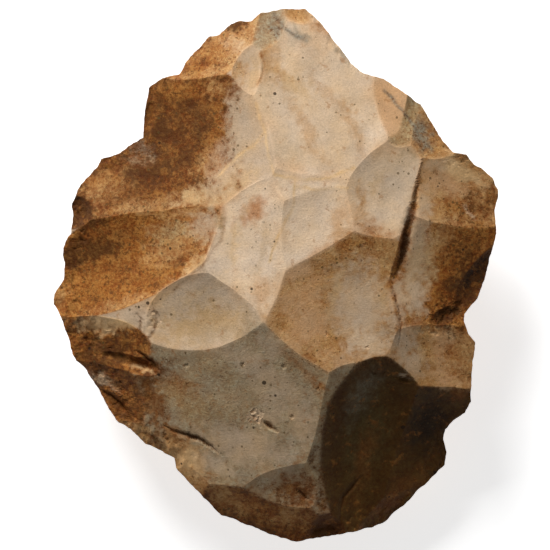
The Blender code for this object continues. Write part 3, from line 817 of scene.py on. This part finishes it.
# %% stains laid over the ground of each scar
# tone, strength, middle x and y, half length, half width, heading, and softness where it isn't SOFT
STAINS = {
    # the pale scar: soft yellow bands that curve down to the right, and a greyer patch at its lower left
    "top": [
        ("yellow", 0.7, 2, 52, 13, 3.5, -38), ("tan", 0.5, 8, 38, 14, 2, -62),
        ("tan", 0.5, 20.5, 37, 12, 1.9, -72), ("tan", 0.35, 14, 46.5, 10, 2, -42),
        ("peach", 0.35, 12, 62, 10, 6, 20), ("greige", 0.4, 3, 33, 8, 6, 60),
        ("slate", 0.6, 17.5, 57.5, 4.5, 1.5, -52, 0.8), ("ochre", 0.55, 12.5, 64, 5.5, 1.8, -40),
        ("tan", 0.55, -2.8, 58.5, 4, 2, -70), ("tan", 0.6, -1, 55.5, 8, 4.4, 90),
        ("greige", 0.5, -4, 48, 5, 4, 90), ("greige", 0.6, 3.7, 62.5, 4.5, 4, 0),
        ("bone", 0.95, 27, 34.5, 7, 5, 60),
    ],
    "blue": [
        ("slate", 0.75, 1, 62, 6, 1.8, -62, 0.8), ("tan", 0.6, -5, 64.5, 4, 1.6, 60),
        ("tan", 0.65, -1, 57.6, 4.5, 2.4, 20),
    ],
    "upper left": [
        ("ochre", 0.5, -19, 56, 16, 6, 40, 0.8), ("beige", 0.4, -9.5, 60, 4, 5, 30),
        ("umber", 0.85, -25, 57.2, 6.5, 1.5, 42, 0.8), ("umber", 0.9, -10.5, 65.6, 5.5, 1.5, 14, 0.8),
        ("brown", 0.6, -18.5, 60.2, 5, 1.2, 38), ("brown", 0.7, -17, 54.2, 8, 0.9, 12),
        ("brown", 0.5, -31, 51, 6, 1.6, 15), ("tan", 0.6, -10.4, 53, 4, 4, 0),
        ("ochre", 0.8, -20.5, 54, 6, 3.2, 30),
    ],
    "tongue": [
        ("brown", 0.5, -12, 53.5, 3, 1.2, 30), ("yellow", 0.75, -4.5, 53, 7, 3, 75),
        ("tan", 0.8, -9.8, 52.5, 4, 4.4, 0),
    ],
    # a dark arc around the hollow of the shoulder, a tan lip at its foot, and pale skin on its right
    "shoulder": [
        ("ochre", 0.85, -23.5, 47.8, 11, 3.6, 2), ("umber", 0.92, -29.8, 38, 9, 3.2, 86, 0.8),
        ("umber", 0.7, -24.6, 37, 5.5, 2.6, 88), ("umber", 0.65, -22.5, 44.5, 6, 2, -20),
        ("umber", 0.8, -19.6, 37, 8, 2.2, 96), ("umber", 0.8, -27, 28.5, 8, 2.6, 30, 0.7),
        ("umber", 0.8, -35, 26.5, 8, 2.8, 4, 0.7), ("umber", 0.65, -49, 15.5, 5, 3, 0),
        ("tan", 0.75, -35.5, 17.6, 17, 2.8, 8), ("tan", 0.9, -45.5, 23, 9, 4.6, 30),
        # the slate and grey patches in the shoulder's hollow are a painted sheen
        ("slate", 0.5, -34, 33, 4.5, 2.4, -20), ("grey", 0.45, -35.5, 30.5, 5, 2.4, 0),
        ("yellow", 0.7, -21.5, 19.8, 7, 3.4, 12), ("ochre", 0.75, -14.6, 42, 8, 3.2, 92),
        ("beige", 0.97, -3, 35, 18, 9.6, 99, 0.34), ("tan", 0.92, -17.5, 30, 7, 3.4, 62),
        ("yellow", 0.85, -12.5, 20.5, 12, 6, 32), ("beige", 0.7, -14.5, 31, 8, 2.6, 68),
        ("yellow", 0.6, -9, 29, 8, 1.2, 55), ("beige", 0.85, -12.5, 26.5, 8, 5, 60),
        ("tan", 0.8, -15, 48.5, 5, 3, 0), ("ochre", 0.65, -15.4, 32.6, 8, 3.4, 90),
        ("ochre", 0.55, -43.4, 25, 6, 3.6, 20), ("ochre", 0.45, -30, 20, 5, 3, 0),
    ],
    # left fan: brown at the rim, greyer towards its rounded tip
    "left fan": [
        ("umber", 0.8, -51, 13, 7, 3, 12, 0.7), ("umber", 0.9, -47, 6.4, 8.5, 2.6, 8, 0.5),
        ("umber", 0.85, -52.5, 5, 6, 2.8, 70, 0.5), ("brown", 0.7, -40.5, 10.5, 8, 2, 6),
        ("tan", 0.75, -26.5, 7.5, 11, 6.5, 28, 0.8), ("dun", 0.75, -27, 11.5, 8, 4, 14),
        ("tan", 0.7, -26, 16.6, 12, 1.4, 3, 0.8), ("brown", 0.85, -25.5, 3.6, 3.4, 2, 30, 0.7),
        ("greige", 0.6, -18, 13, 5.5, 6.5, 20, 0.8), ("grey", 0.6, -15.4, 14.5, 1.6, 6, 10),
        ("ochre", 0.5, -38, -1.5, 10, 2.4, 24), ("yellow", 0.9, -19.5, 2, 8, 3.4, 42, 0.8),
        ("tan", 0.7, -40, -7.4, 12, 2.2, 14), ("tan", 0.8, -57, -5, 3, 3.4, 90, 0.6),
        ("umber", 0.8, -49, 15, 5.5, 3.2, 0),
    ],
    # the middle: cream, with a pink spot and rosy edges
    "middle": [
        ("pink", 0.95, -5.4, 17, 6.2, 3.6, 35, 1), ("honey", 0.6, -10, 9.5, 13, 1.2, 72, 1),
        ("yellow", 0.45, -3, 7, 10, 2, 80, 1), ("peach", 0.65, -3, -4, 6, 4, 60),
        ("tan", 0.7, -4, -11.5, 5, 3.4, 40), ("dun", 0.85, -14.2, 14.5, 1.8, 5.5, 10, 0.8),
        ("greige", 0.6, -9, -9, 6, 2.4, -40),
    ],
    "pink": [
        ("peach", 0.7, 17, 14.5, 10, 2.6, 65), ("pink", 0.5, 9, 3.5, 11, 2.4, 40),
        ("tan", 0.6, 18, 10.8, 5, 3, 30),
    ],
    "bevel": [("peach", 0.4, 12, 25, 10, 2, 5)],
    "window": [
        ("ochre", 0.75, 25.5, 11.5, 9, 3.2, -18), ("tan", 0.75, 22, 19, 6, 2.2, 80),
        ("yellow", 0.6, 26, 24, 4, 2, 60), ("greige", 0.45, 31, 24, 9, 4.5, 62),
        ("grey", 0.75, 36.5, 34.5, 5, 3.6, 60),
    ],
    # the tan scar, grey where it dips to the right
    "tan": [
        # the first stain, an ochre band along the ridge at the scar's top, is painted shade
        ("ochre", 0.7, 19, 8.6, 12, 2.4, 8), ("peach", 0.7, 7.5, -5, 10, 5, 35),
        ("beige", 0.92, 22.2, -8, 14, 9.4, -82, 0.7), ("yellow", 0.65, 15.5, -6, 10, 1.8, 80),
        ("yellow", 0.55, 28, -6, 5, 2.4, 80), ("peach", 0.75, 8.5, -13, 10, 7, 40),
        ("peach", 0.7, 17.5, -22, 9, 3.4, -8), ("beige", 0.85, 31.5, -8, 9, 2.4, 86, 0.8),
        ("ochre", 0.45, 10, -22, 6, 2, 0), ("cream", 0.85, 24.5, -17.6, 9, 3.8, 0),
        ("peach", 0.9, 5, 1, 8, 3.6, 32),
    ],
    # the right side
    "strip one": [("peach", 0.4, 33, 44, 6, 4.5, 110, 0.7)],
    "strip three": [
        ("ochre", 0.55, 41, 38, 4, 3, 30), ("grey", 0.75, 38, 38, 8, 2.8, -70),
        ("honey", 0.9, 48, 30.5, 5, 2.2, -28), ("brown", 0.5, 45.5, 33, 4, 1.6, -50),
        ("slate", 0.65, 37, 37, 7, 4, -70),
    ],
    "crust": [
        ("beige", 0.85, 38, 17, 9, 3.6, 78, 0.8), ("peach", 0.8, 44, 24, 11, 5, -28, 0.8),
        ("honey", 0.85, 46.5, 28.5, 10, 3, -28, 0.8), ("ochre", 0.6, 51.5, 21, 8, 3, 110),
        ("brown", 0.8, 50.5, 17, 6, 3, 0), ("brown", 0.75, 52, 14, 6, 2.6, 0),
        ("umber", 0.5, 50.5, 19.5, 5, 2.4, 10), ("tan", 0.7, 54, 25, 3.5, 2.6, -35),
        ("beige", 0.6, 50.5, 16.6, 3, 0.8, -50, 0.7), ("brown", 0.95, 56, 19.5, 6, 3.4, 80),
        ("ochre", 0.75, 46.5, 18, 5, 4.4, 90), ("honey", 0.75, 51, 25.4, 4.5, 2.6, -35),
        ("cream", 0.6, 41.5, 29, 4, 2.6, 0),
    ],
    "step": [
        # the brown, umber and black stains at the step's right end, towards the black edge, are partly dark
        # patina, partly painted shade
        ("beige", 0.92, 37, 7, 15, 4.6, 84, 0.8), ("tan", 0.8, 42.5, 9, 9, 3.6, 80),
        ("brown", 0.85, 49.5, 8, 8, 4, 40), ("umber", 0.9, 50.5, 2.5, 6, 3.6, 70),
        ("umber", 0.8, 47, -2, 6, 2.8, 30), ("black", 0.6, 48.5, -1.6, 4, 2.4, 40),
        ("beige", 0.85, 32.5, -6, 8, 2.6, 84, 0.8), ("yellow", 0.6, 36.5, 1, 17, 4, 86, 0.8),
        ("yellow", 0.6, 40.5, 3, 10, 2.4, 86), ("cream", 0.75, 36.6, -5.4, 7.5, 3.6, 86),
    ],
    # the black on the black edge and on the right nick is partly dark patina, partly painted shade
    "black edge": [("black", 0.9, 52.5, 1, 9, 3.4, 55)],
    "right nick": [("black", 0.6, 46.5, -9, 5, 2.4, 20)],
    "right": [
        ("peach", 0.7, 45, -20, 10, 5.5, 90, 0.8), ("ochre", 0.75, 46.5, -20.5, 8, 3.6, 80),
        # the black patch under the right nick, and the umber one beside it, are painted shade
        ("tan", 0.8, 48.5, -17.5, 6, 2.4, 100), ("black", 0.9, 44.5, -11, 5, 3.6, 100),
        ("umber", 0.9, 48.5, -12, 3.6, 3, 0), ("beige", 0.9, 33.5, -16.5, 12, 4.6, 80),
        ("grey", 0.8, 37.5, -11.6, 5, 3, 60), ("peach", 0.7, 43.5, -26.4, 8, 1.4, -12),
        ("brown", 0.5, 51, -26, 3, 2, 0), ("beige", 0.7, 36, -22.6, 5, 4, 90),
    ],
    # the cup, and the crushed steps left of it
    "cup": [
        ("bone", 0.55, -17, -7, 12, 4.6, 8), ("yellow", 0.95, -18.5, -12.5, 17, 7, 0),
        ("honey", 0.7, -23.5, -5, 7, 3.6, 20), ("greige", 0.45, -14, -15.5, 10, 4.6, -4),
        ("grey", 0.55, -5.8, -13, 4, 4.5, 0), ("bone", 0.9, -23, -3.4, 9, 3.4, 30),
        ("honey", 0.85, -35, -6.8, 12, 3.2, 22),
    ],
    "left point": [
        ("tan", 0.9, -42.5, -10, 12, 3, 4, 0.8), ("honey", 0.85, -41, -10.8, 10, 2.6, -2, 0.8),
        ("umber", 0.85, -51, -12.4, 3, 2.2, -30), ("umber", 0.95, -44.5, -18, 11, 3.4, -6, 0.7),
        ("umber", 0.6, -39.5, -15.6, 6, 1.4, -6), ("black", 0.5, -43, -21, 9, 1.6, -12),
        ("honey", 0.8, -43.5, -12.6, 11, 3, 0), ("umber", 0.9, -45.5, -21.8, 10, 3, -10),
    ],
    "left step": [
        ("umber", 0.8, -47, -23.5, 8, 1.6, -22), ("umber", 0.95, -40.5, -23, 6, 2.6, -30),
        ("greige", 0.7, -45, -27.5, 6, 2, -38, 0.8),
        ("ochre", 0.5, -41, -30, 6, 1.6, -38), ("umber", 0.85, -36, -28, 5, 3, -50, 0.8),
        ("umber", 0.9, -45.5, -22.6, 10, 3, -10),
    ],
    # the ledge: the umber line along its crack is painted shade, and the yellow lip below it a painted
    # highlight
    "ledge": [("umber", 0.9, -35.5, -22, 7, 1.4, -16, 0.8), ("yellow", 0.85, -34.5, -24.5, 5.5, 0.8, -10)],
    # the wide lower scar: brown along its left, grey with ochre clouds in the middle
    "lower": [
        ("umber", 0.75, -34, -27, 5, 4, -60, 0.8), ("brown", 0.85, -32.5, -33, 8, 5, -60, 0.8),
        ("ochre", 0.7, -25.5, -29, 9, 4.6, -30), ("dun", 0.8, -20.5, -34, 12, 5, -35),
        ("umber", 0.5, -29.5, -27, 4, 3, -30), ("dun", 0.4, -9, -37, 9, 5, -40),
        ("beige", 0.65, -3, -24.5, 14, 4.4, -35, 0.8), ("beige", 0.85, -8, -44, 16, 6, -15, 0.8),
        ("tan", 0.9, -23.5, -46.5, 11, 5, -42, 0.7), ("honey", 0.7, -22, -47.6, 6, 3.4, -42),
        ("brown", 0.75, -27.5, -41, 8, 2.8, -35), ("ochre", 0.85, 11, -29.3, 2.2, 1.8, 0),
        ("ochre", 0.5, 7, -24, 9, 1.8, -48), ("beige", 0.75, 7, -37.5, 5, 8, 15),
        ("beige", 0.5, 0, -31.5, 9, 4, -30), ("beige", 0.9, -4.7, -36.4, 2.7, 2.2, -60, 0.4),
        ("brown", 0.6, -5.5, -37.8, 1.6, 0.8, -50), ("beige", 0.6, -1.4, -38.2, 2.2, 0.8, -40, 0.7),
        ("umber", 0.6, -30, -23.4, 5.5, 3, 0), ("umber", 0.6, -34, -27.5, 4, 4, 0),
        ("cream", 0.6, -14.5, -49.8, 8, 3, -25), ("beige", 0.6, -1, -36, 4.5, 4, 0),
        ("beige", 0.65, -1, -18, 5, 3.4, -40), ("greige", 0.45, -10.5, -32, 5, 4, 0),
    ],
    "grey strip": [
        ("umber", 0.55, 13.5, -42, 2.4, 6, 10), ("brown", 0.65, 14.5, -56, 3.4, 9, 0),
        ("umber", 0.75, 13, -54, 10, 3.6, 90), ("umber", 0.6, 8.8, -46.5, 5, 3.6, 60),
    ],
    "foot": [
        ("beige", 0.45, 2, -51.5, 8, 2.4, 0, 0.8), ("brown", 0.85, 5.5, -55.5, 10, 4.4, 0, 0.8),
        ("brown", 0.85, 7, -60, 7, 3.6, 0),
    ],
    # lower edge and the hollow
    "lower left": [
        ("umber", 0.7, -30.5, -43, 4, 2.4, -40), ("honey", 0.7, -23.5, -48, 6, 3, -45),
        ("umber", 0.6, -41, -34.5, 6, 1.6, -50),
    ],
    "lower edge": [
        ("tan", 0.6, -16, -55, 10, 3, -25), ("ochre", 0.55, -4, -61, 12, 4, -10),
        ("umber", 0.75, -8, -66, 14, 2, -16), ("tan", 0.75, 3.5, -63.4, 7, 3.4, 0),
        ("tan", 0.85, -10.5, -59.6, 9, 3.4, -20),
    ],
    # the hollow: its black stains are partly dark patina, partly painted shade, and the slate patch at its
    # upper left is a painted sheen
    "hollow": [
        ("olive", 0.95, 24, -39, 18, 7.5, 80, 0.8), ("slate", 0.45, 22.5, -31.5, 10, 4, 62),
        ("brown", 0.55, 23.5, -48, 12, 3, 78), ("black", 0.6, 35, -44, 10, 5, 80),
        ("beige", 0.55, 33.6, -26, 2, 0.5, -24, 0.8),
    ],
    "hollow side": [
        # the black in the hollow's side is partly dark patina, partly painted shade
        ("black", 0.9, 40, -38.5, 11, 7, 70), ("brown", 0.5, 34, -56, 12, 4, 40),
        ("peach", 0.9, 41.5, -27.8, 8, 1.3, -8), ("brown", 0.6, 48.5, -30.5, 3, 3, 0),
    ],
    "hollow foot": [("brown", 0.6, 30, -60, 9, 4, 30)],
}
SCAR_BLEND = 0.00012


def laid_over(colour, tone, mask):
    """The colour turned towards a tone: colour (1 - mask) + tone mask."""
    return colour * (1 - mask[:, None]) + np.array(TONES[tone]) * mask[:, None]


def stained_scar(name):
    """The scar's ground tone with its own stains laid over it one after another."""
    colour = np.full((len(x), 3), TONES[SCAR_TONES[name]])
    for tone, strength, *place in STAINS.get(name, []):
        colour = laid_over(colour, tone, strength * soft_patch(*place))
    return colour


# colours of all scars, each weighted by e^-(its height above the lowest / SCAR_BLEND), so that a colour
# only reaches past its own scar where the ridge is low
colour = np.zeros((len(x), 3))
total = np.full((len(x), 1), 1e-9)
for name, row in zip(SCARS, rows[1:]):
    weight = np.exp(-(row - lowest) / SCAR_BLEND)[:, None]
    colour += weight * stained_scar(name)
    total += weight
# where no scar was struck the dome's own pale skin is left
skin = np.clip(1 - total, 0, 1)
colour = (colour + skin * np.array(TONES["beige"])) / (total + skin)
print(f"{len(TONES)} tones, {sum(map(len, STAINS.values()))} stains")

# %% veins and rusty cracks, and umber lines along cracks that are painted shade
# tone, strength, half width in millimetres, and the points they follow
VEINS = [
    ("slate", 0.9, 0.43, [(28.6, 48.1), (32.6, 43.7), (35.7, 39.5), (38.3, 35), (40.9, 32.1)]),
    ("slate", 0.95, 0.61, [(0.1, 67.5), (2.4, 64.4), (8.2, 60.7)]),
    ("slate", 0.8, 0.47, [(5, 65.8), (6.4, 62.4), (9.2, 61.6)]),
    ("ochre", 0.85, 0.34, [(-3.5, 58), (-2.8, 54.2), (-3.4, 51), (-4.8, 49)]),
    ("honey", 1, 0.46, [(0.2, 25.7), (8, 24.6), (13.9, 25.2), (20.5, 27.7)]),
    ("honey", 0.95, 0.36, [(-4.9, 44.5), (-2.6, 37), (-1.6, 30), (0, 25.8)]),
    ("honey", 0.9, 0.36, [(-2.6, 37), (-5, 34), (-9.5, 31), (-14.5, 25.5)]),
    ("honey", 0.95, 0.38, [(5.3, 24.8), (5, 18), (1.9, 12.5), (0, 8.3), (-1.2, 3.6)]),
    ("honey", 0.9, 0.36, [(5.8, 22.6), (11, 22), (16.5, 22.8), (19, 22.7)]),
    # painted shade: an umber line along the crack below the groove
    ("umber", 0.55, 0.26, [(30.2, -2.2), (31.4, -6.5), (32.8, -12.4), (31.8, -18)]),
    ("brown", 0.65, 0.34, [(-14, 20), (-12.6, 15.5), (-13.5, 10), (-18.6, 2.6), (-26, -3.4)]),
    # painted shade: umber lines along the rings and the second ledge crack
    ("umber", 0.75, 0.38, [(-32.5, -12), (-30.4, -9.6), (-30.8, -13.2), (-33, -16)]),
    ("umber", 0.7, 0.34, [(-36, -9.5), (-34.2, -11.5), (-35.2, -14.5), (-32, -18.5)]),
    ("umber", 0.75, 0.41, [(-48, -27.5), (-43.5, -31.5), (-40, -36), (-38, -40.5)]),
]
VEIN_BEND = ((3.5, 0.35),)


def patchy(mean, varies, size, seed):
    """A share between 0 and 1 that drifts over the face: a mean and noise of that size around it."""
    return np.clip(mean + varies * layered(x, y, size, seed), 0, 1)


vein_plan = bent(x, y, VEIN_BEND, 101, 103, layered)
broken = patchy(0.75, 0.6, size=4, seed=107)
for tone, strength, half_width, ends in VEINS:
    colour = laid_over(colour, tone, strength * broken * bell(on_line(*vein_plan, ends)[0], half_width))
print(f"{len(VEINS)} veins")

# %% dirt and painted shade in the cracks, and iron beside the ridges of the pale scars
DIRT_AND_SHADE_FROM, DIRT_AND_SHADE_TO = 0.2, 0.7
DIRT_AND_SHADE_STRENGTH = 0.80
HALO_REACH = 2.2
HALO_STRENGTH = 0.48
# the whole skin drifts between warm and cool, and between light and dark
WARMTH_SIZE, WARMTH = 7, np.array([0.03, -0.01, -0.09])
SHADE_SIZE, SHADE = 12, 0.07

# the cracks are darkened with umber, the deeper ones more: partly dirt, partly painted shade of their walls
dirt_and_shade = np.clip((cracked - DIRT_AND_SHADE_FROM) / (DIRT_AND_SHADE_TO - DIRT_AND_SHADE_FROM), 0, 1)
colour = laid_over(colour, "umber", DIRT_AND_SHADE_STRENGTH * dirt_and_shade)
# 0 on dark skin and 1 on cream
pale = np.clip(2.6 * colour.mean(axis=1) - 0.35, 0, 1)
halo = bell(ridge_away, HALO_REACH) * patchy(0.35, 0.9, size=9, seed=73)
colour = laid_over(colour, "peach", HALO_STRENGTH * halo * pale)
colour = colour * (1 + layered(x, y, WARMTH_SIZE, 79)[:, None] * WARMTH)
colour = colour * (1 + SHADE * layered(x, y, SHADE_SIZE, 89)[:, None])
print(f"{(dirt_and_shade > 0).mean():.1%} of the worked face is cracked")

# %% masks at the points: how stained, how specked, how worn and lit by a painted highlight
# dark skin is mottled and pale skin is clean; the hollow is smoother than its colour tells, since part of
# that colour is painted shade
MOTTLE_FROM, MOTTLE_TO = 0.44, 0.12
LEAST_MOTTLE = 0.04
SMOOTHER_SCARS = {"hollow": 0.45, "hollow side": 0.45, "hollow foot": 0.7, "top": 0.6, "lower": 0.75}
WORN_HIGHLIGHT_REACH = 0.35

amounts = np.array([SMOOTHER_SCARS.get(name, 1.0) for name in SCARS])
weight = np.exp(-(rows[1:] - lowest) / (3 * SCAR_BLEND))
amount = (weight * amounts[:, None]).sum(axis=0) / (weight.sum(axis=0) + 1e-9)
darkness = (MOTTLE_FROM - colour.mean(axis=1)) / (MOTTLE_FROM - MOTTLE_TO)
stained = amount * np.clip(darkness, LEAST_MOTTLE, 1)
# ridges are worn and also carry a painted highlight: the shader lightens the skin along them
worn_and_highlit = bell(ridge_away, WORN_HIGHLIGHT_REACH) * patchy(0.45, 0.9, size=5, seed=71)

# where manganese specks are thick: strength, middle x and y, half length, half width, heading, softness
FEWEST_SPECKS = 0.12
SPECKED_PLACES = [
    (0.95, 33, 28.5, 10, 4, 62), (0.9, 42, 24, 5, 4, 30), (0.8, 36.5, 12, 11, 4, 82),
    (0.75, 29.5, -1, 10, 4.5, 80), (0.55, -12, 36, 13, 5, 100), (0.6, -27, 8.5, 15, 5.5, 25),
    (0.9, -34, -8, 10, 2.6, 24, 0.8), (0.8, -43, -20, 12, 6, -20), (0.85, -31, -41, 14, 5, -40),
    (0.45, -10, -30, 20, 13, -30), (0.6, -4, -61.5, 17, 5, -12), (0.6, 33, -38, 14, 12, 70),
    (0.7, 48, 12, 12, 5, 80), (0.6, 45.5, -19, 9, 6, 90), (0.45, -30, 36, 18, 12, 30),
    (0.35, 12, 3, 16, 10, 30),
]
specked = np.full_like(x, FEWEST_SPECKS)
for strength, *place in SPECKED_PLACES:
    specked = np.maximum(specked, strength * soft_patch(*place))
print(f"means: stained {stained.mean():.2f}, specked {specked.mean():.2f}, worn {worn_and_highlit.mean():.2f}")

# %% plainer tones for the underside: dark brown flint with patches
# tone, size in millimetres, seed, and the height of the noise from which on the tone shows
UNDER_TONES = [("brown", 16, 81, 0.1), ("dun", 22, 82, 0.15), ("umber", 9, 83, 0.35), ("grey", 25, 84, 0.35)]
UNDER_GAIN = 2.5
UNDER_MOST = 0.85
RIM_COLOUR_FROM = 0.88

under_colour = np.full((len(under_x), 3), TONES["bistre"])
for tone, size, seed, level in UNDER_TONES:
    patch = np.clip(UNDER_GAIN * (layered(under_x, under_y, size, seed) - level), 0, UNDER_MOST)
    under_colour = laid_over(under_colour, tone, patch)
# the last of the way to the rim fades to the colour of the worked face at the rim in that direction
rim_points = ring[::8]
nearest = np.abs(half_turn(under_angle[:, None] - angle[rim_points])).argmin(axis=1)
near_rim = np.clip((under_share - RIM_COLOUR_FROM) / (1 - RIM_COLOUR_FROM), 0, 1)[:, None] ** 2
under_colour = under_colour * (1 - near_rim) + colour[rim_points][nearest] * near_rim
print("mean tone underneath:", under_colour.mean(axis=0).round(3))

# %% colours and masks go into the mesh
rgba = np.ones((len(points), 4), np.float32)
rgba[:, :3] = np.concatenate([colour, under_colour])
core_mesh.color_attributes.new("tone", "FLOAT_COLOR", "POINT").data.foreach_set("color", rgba.ravel())
for name, top, below in [("stained", stained, 0.45), ("specked", specked, 0.4), ("worn_and_highlit", worn_and_highlit, 0)]:
    values = np.concatenate([top, np.full(len(under_x), below)]).astype(np.float32)
    core_mesh.attributes.new(name, "FLOAT", "POINT").data.foreach_set("value", values)
print("attributes:", [name for name in core_mesh.attributes.keys() if not name.startswith(".")])

# %% [markdown]
# ## The material
# A material is a graph of nodes. Written out by hand such a graph is long, so a small class lets
# the sockets be used in ordinary sums: `stain * 0.5 + grain` adds the two Math nodes by itself.

# %% shader maths as Python sums
class Value:
    """A socket that can be added, subtracted, multiplied and be a power, each by one Math node."""

    def __init__(self, nodes, socket):
        self.nodes = nodes
        self.socket = socket

    def math(self, operation, *others):
        """The Math node of that operation on this socket and the others."""
        return self.nodes.add("ShaderNodeMath", {"operation": operation}, dict(enumerate([self, *others])))

    def __add__(self, other):
        return self.math("ADD", other)

    def __mul__(self, other):
        return self.math("MULTIPLY", other)

    def __sub__(self, other):
        return self.math("SUBTRACT", other)

    def __rsub__(self, other):
        return self.nodes.add("ShaderNodeMath", {"operation": "SUBTRACT"}, {0: other, 1: self})

    def __rpow__(self, other):
        return self.nodes.add("ShaderNodeMath", {"operation": "POWER"}, {0: other, 1: self})

    # a number on the left of + or * gives the same node
    __radd__ = __add__
    __rmul__ = __mul__


class Nodes:
    """Adds nodes to one material's graph."""

    def __init__(self, material):
        material.use_nodes = True
        self.tree = material.node_tree

    def add(self, kind, settings=None, inputs=None, output=0):
        """A node of that type, with its settings first and then the values or links of its sockets."""
        node = self.tree.nodes.new(kind)
        for name, value in (settings or {}).items():
            setattr(node, name, value)
        for name, value in (inputs or {}).items():
            if isinstance(value, Value):
                self.tree.links.new(value.socket, node.inputs[name])
            else:
                node.inputs[name].default_value = value
        return Value(self, node.outputs[output])

    def step(self, value, start, end):
        """0 below start, 1 above end, and the curve 3t^2 - 2t^3 between them."""
        settings = {"interpolation_type": "SMOOTHSTEP"}
        inputs = {"Value": value, "From Min": start, "From Max": end}
        return self.add("ShaderNodeMapRange", settings, inputs)

    def mix(self, factor, one, two, blend="MIX"):
        """Colour one turned towards colour two by the factor. Sockets 6 and 7 are the two colours."""
        settings = {"data_type": "RGBA", "blend_type": blend}
        return self.add("ShaderNodeMix", settings, {0: factor, 6: one, 7: two}, output=2)

    def mesh_value(self, name):
        """The value that the mesh's points carry under that name."""
        return self.add("ShaderNodeAttribute", {"attribute_name": name}, output=2)

    def colour(self, red, green, blue):
        """A colour from its three channels."""
        return self.add("ShaderNodeCombineColor", {}, {0: red, 1: green, 2: blue})

    def wander(self, place, per_metre, detail, roughness=0.55, distortion=0.0):
        """Noise with its middle at 0 and a usual size of 1: the node's own keeps close to 0.5."""
        inputs = {"Vector": place, "Scale": per_metre, "Detail": detail, "Roughness": roughness}
        return (self.add("ShaderNodeTexNoise", {}, {**inputs, "Distortion": distortion}) - 0.5) * 16


# %% the flint's finish
finish = bpy.data.materials.new("flint")
nodes = Nodes(finish)
shader = finish.node_tree.nodes["Principled BSDF"]
place = nodes.add("ShaderNodeTexCoord", output=3)
tone = nodes.add("ShaderNodeAttribute", {"attribute_name": "tone"}, output=0)
stained_value, specked_value, worn_highlight_value = map(nodes.mesh_value, ("stained", "specked", "worn_and_highlit"))
paint = {name: (*TONES[name], 1) for name in ("ochre", "umber", "black", "olive")}

# the tone that the mesh's points carry, with lighter and darker clouds of 6 mm and with grain down to a
# quarter of a millimetre
clouds = nodes.wander(place, 170, detail=3)
grain = nodes.wander(place, 2100, detail=2, roughness=0.7)
# worn ridges are lightened: partly wear, partly a painted highlight
lightness = 1 + clouds * 0.025 + grain * 0.040 + worn_highlight_value * 0.20
base = nodes.mix(1.0, tone, nodes.colour(lightness, lightness, lightness), "MULTIPLY")

# rust in flecks of a millimetre or two everywhere
rust = nodes.wander(place, 380, detail=6, roughness=0.68, distortion=0.3)
base = nodes.mix(nodes.step(rust + stained_value * 1.2, 1.4, 3.0) * 0.45, base, paint["ochre"])

# iron in the skin dims light as tea does: each colour is multiplied by its own share to the power of the
# stain's density, which wanders in mottles from 4 mm down to the size of the grain
THINNEST_STAIN = -0.5
RED_LEFT, GREEN_LEFT, BLUE_LEFT = 0.68, 0.52, 0.42
mottle = nodes.wander(place, 260, detail=8, roughness=0.74, distortion=0.35)
fine_mottle = nodes.wander(place, 1250, detail=4, roughness=0.75)
density = (stained_value * (mottle * 0.42 + fine_mottle * 0.46)).math("MAXIMUM", THINNEST_STAIN)
left = nodes.colour(RED_LEFT**density, GREEN_LEFT**density, BLUE_LEFT**density)
base = nodes.mix(1.0, base, left, "MULTIPLY")

# the thickest of it stands as dark flecks in two sizes, denser where the skin is more stained
blots = nodes.wander(place, 420, detail=6, roughness=0.74, distortion=0.3)
dark = nodes.step(blots + stained_value * 2.6, 2.6, 4.4)
base = nodes.mix(dark * 0.70, base, paint["umber"])
small_blots = nodes.wander(place, 1100, detail=4, roughness=0.7)
dark_flecks = nodes.step(small_blots + stained_value * 2.4, 2.4, 3.6)
base = nodes.mix(dark_flecks * 0.70, base, paint["umber"])


# spots of manganese in two sizes
def spots(per_metre, radius):
    """Round spots around the points of a random lattice, in the share of its cells that is specked."""
    near = nodes.add("ShaderNodeTexVoronoi", {}, {"Vector": place, "Scale": per_metre}, output=0)
    draw = nodes.add("ShaderNodeTexVoronoi", {}, {"Vector": place, "Scale": per_metre}, output=1)
    chance = nodes.add("ShaderNodeSeparateColor", {}, {0: draw}, output=0)
    size = nodes.add("ShaderNodeSeparateColor", {}, {0: draw}, output=1)
    round_spot = 1 - nodes.step(near, radius * (0.4 + size), radius * (0.7 + size))
    return round_spot * nodes.step(specked_value * 0.75 - chance, 0.0, 0.05)


spot = spots(330, 0.125)
small_spot = spots(820, 0.19)
base = nodes.mix(spot * 0.85, base, paint["black"])
base = nodes.mix(small_spot * 0.70, base, paint["olive"])
print(f"{len(nodes.tree.nodes)} nodes for the colour")

# %% shine and relief of the finish
SHINE = 0.12
BUMP_STRENGTH = 0.45
BUMP_DEPTH = 0.00016

roughness = 0.62 - dark * 0.12 + worn_highlight_value * 0.06 + grain * 0.03
pitting = (mottle * 0.22 + fine_mottle * 0.22) * (0.25 + stained_value)
relief = grain * 0.08 + clouds * 0.10 - pitting - spot * 0.5 - dark * 0.25 - dark_flecks * 0.25
bump_inputs = {"Strength": BUMP_STRENGTH, "Distance": BUMP_DEPTH, "Height": relief}
bump = nodes.add("ShaderNodeBump", {}, bump_inputs)
shader.inputs["Specular IOR Level"].default_value = SHINE
for name, value in {"Base Color": base, "Roughness": roughness, "Normal": bump}.items():
    nodes.tree.links.new(value.socket, shader.inputs[name])
core_mesh.materials.append(finish)
print(f"{len(nodes.tree.nodes)} nodes in the finish")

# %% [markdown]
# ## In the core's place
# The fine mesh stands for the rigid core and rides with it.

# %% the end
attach(core, "root")
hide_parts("core")
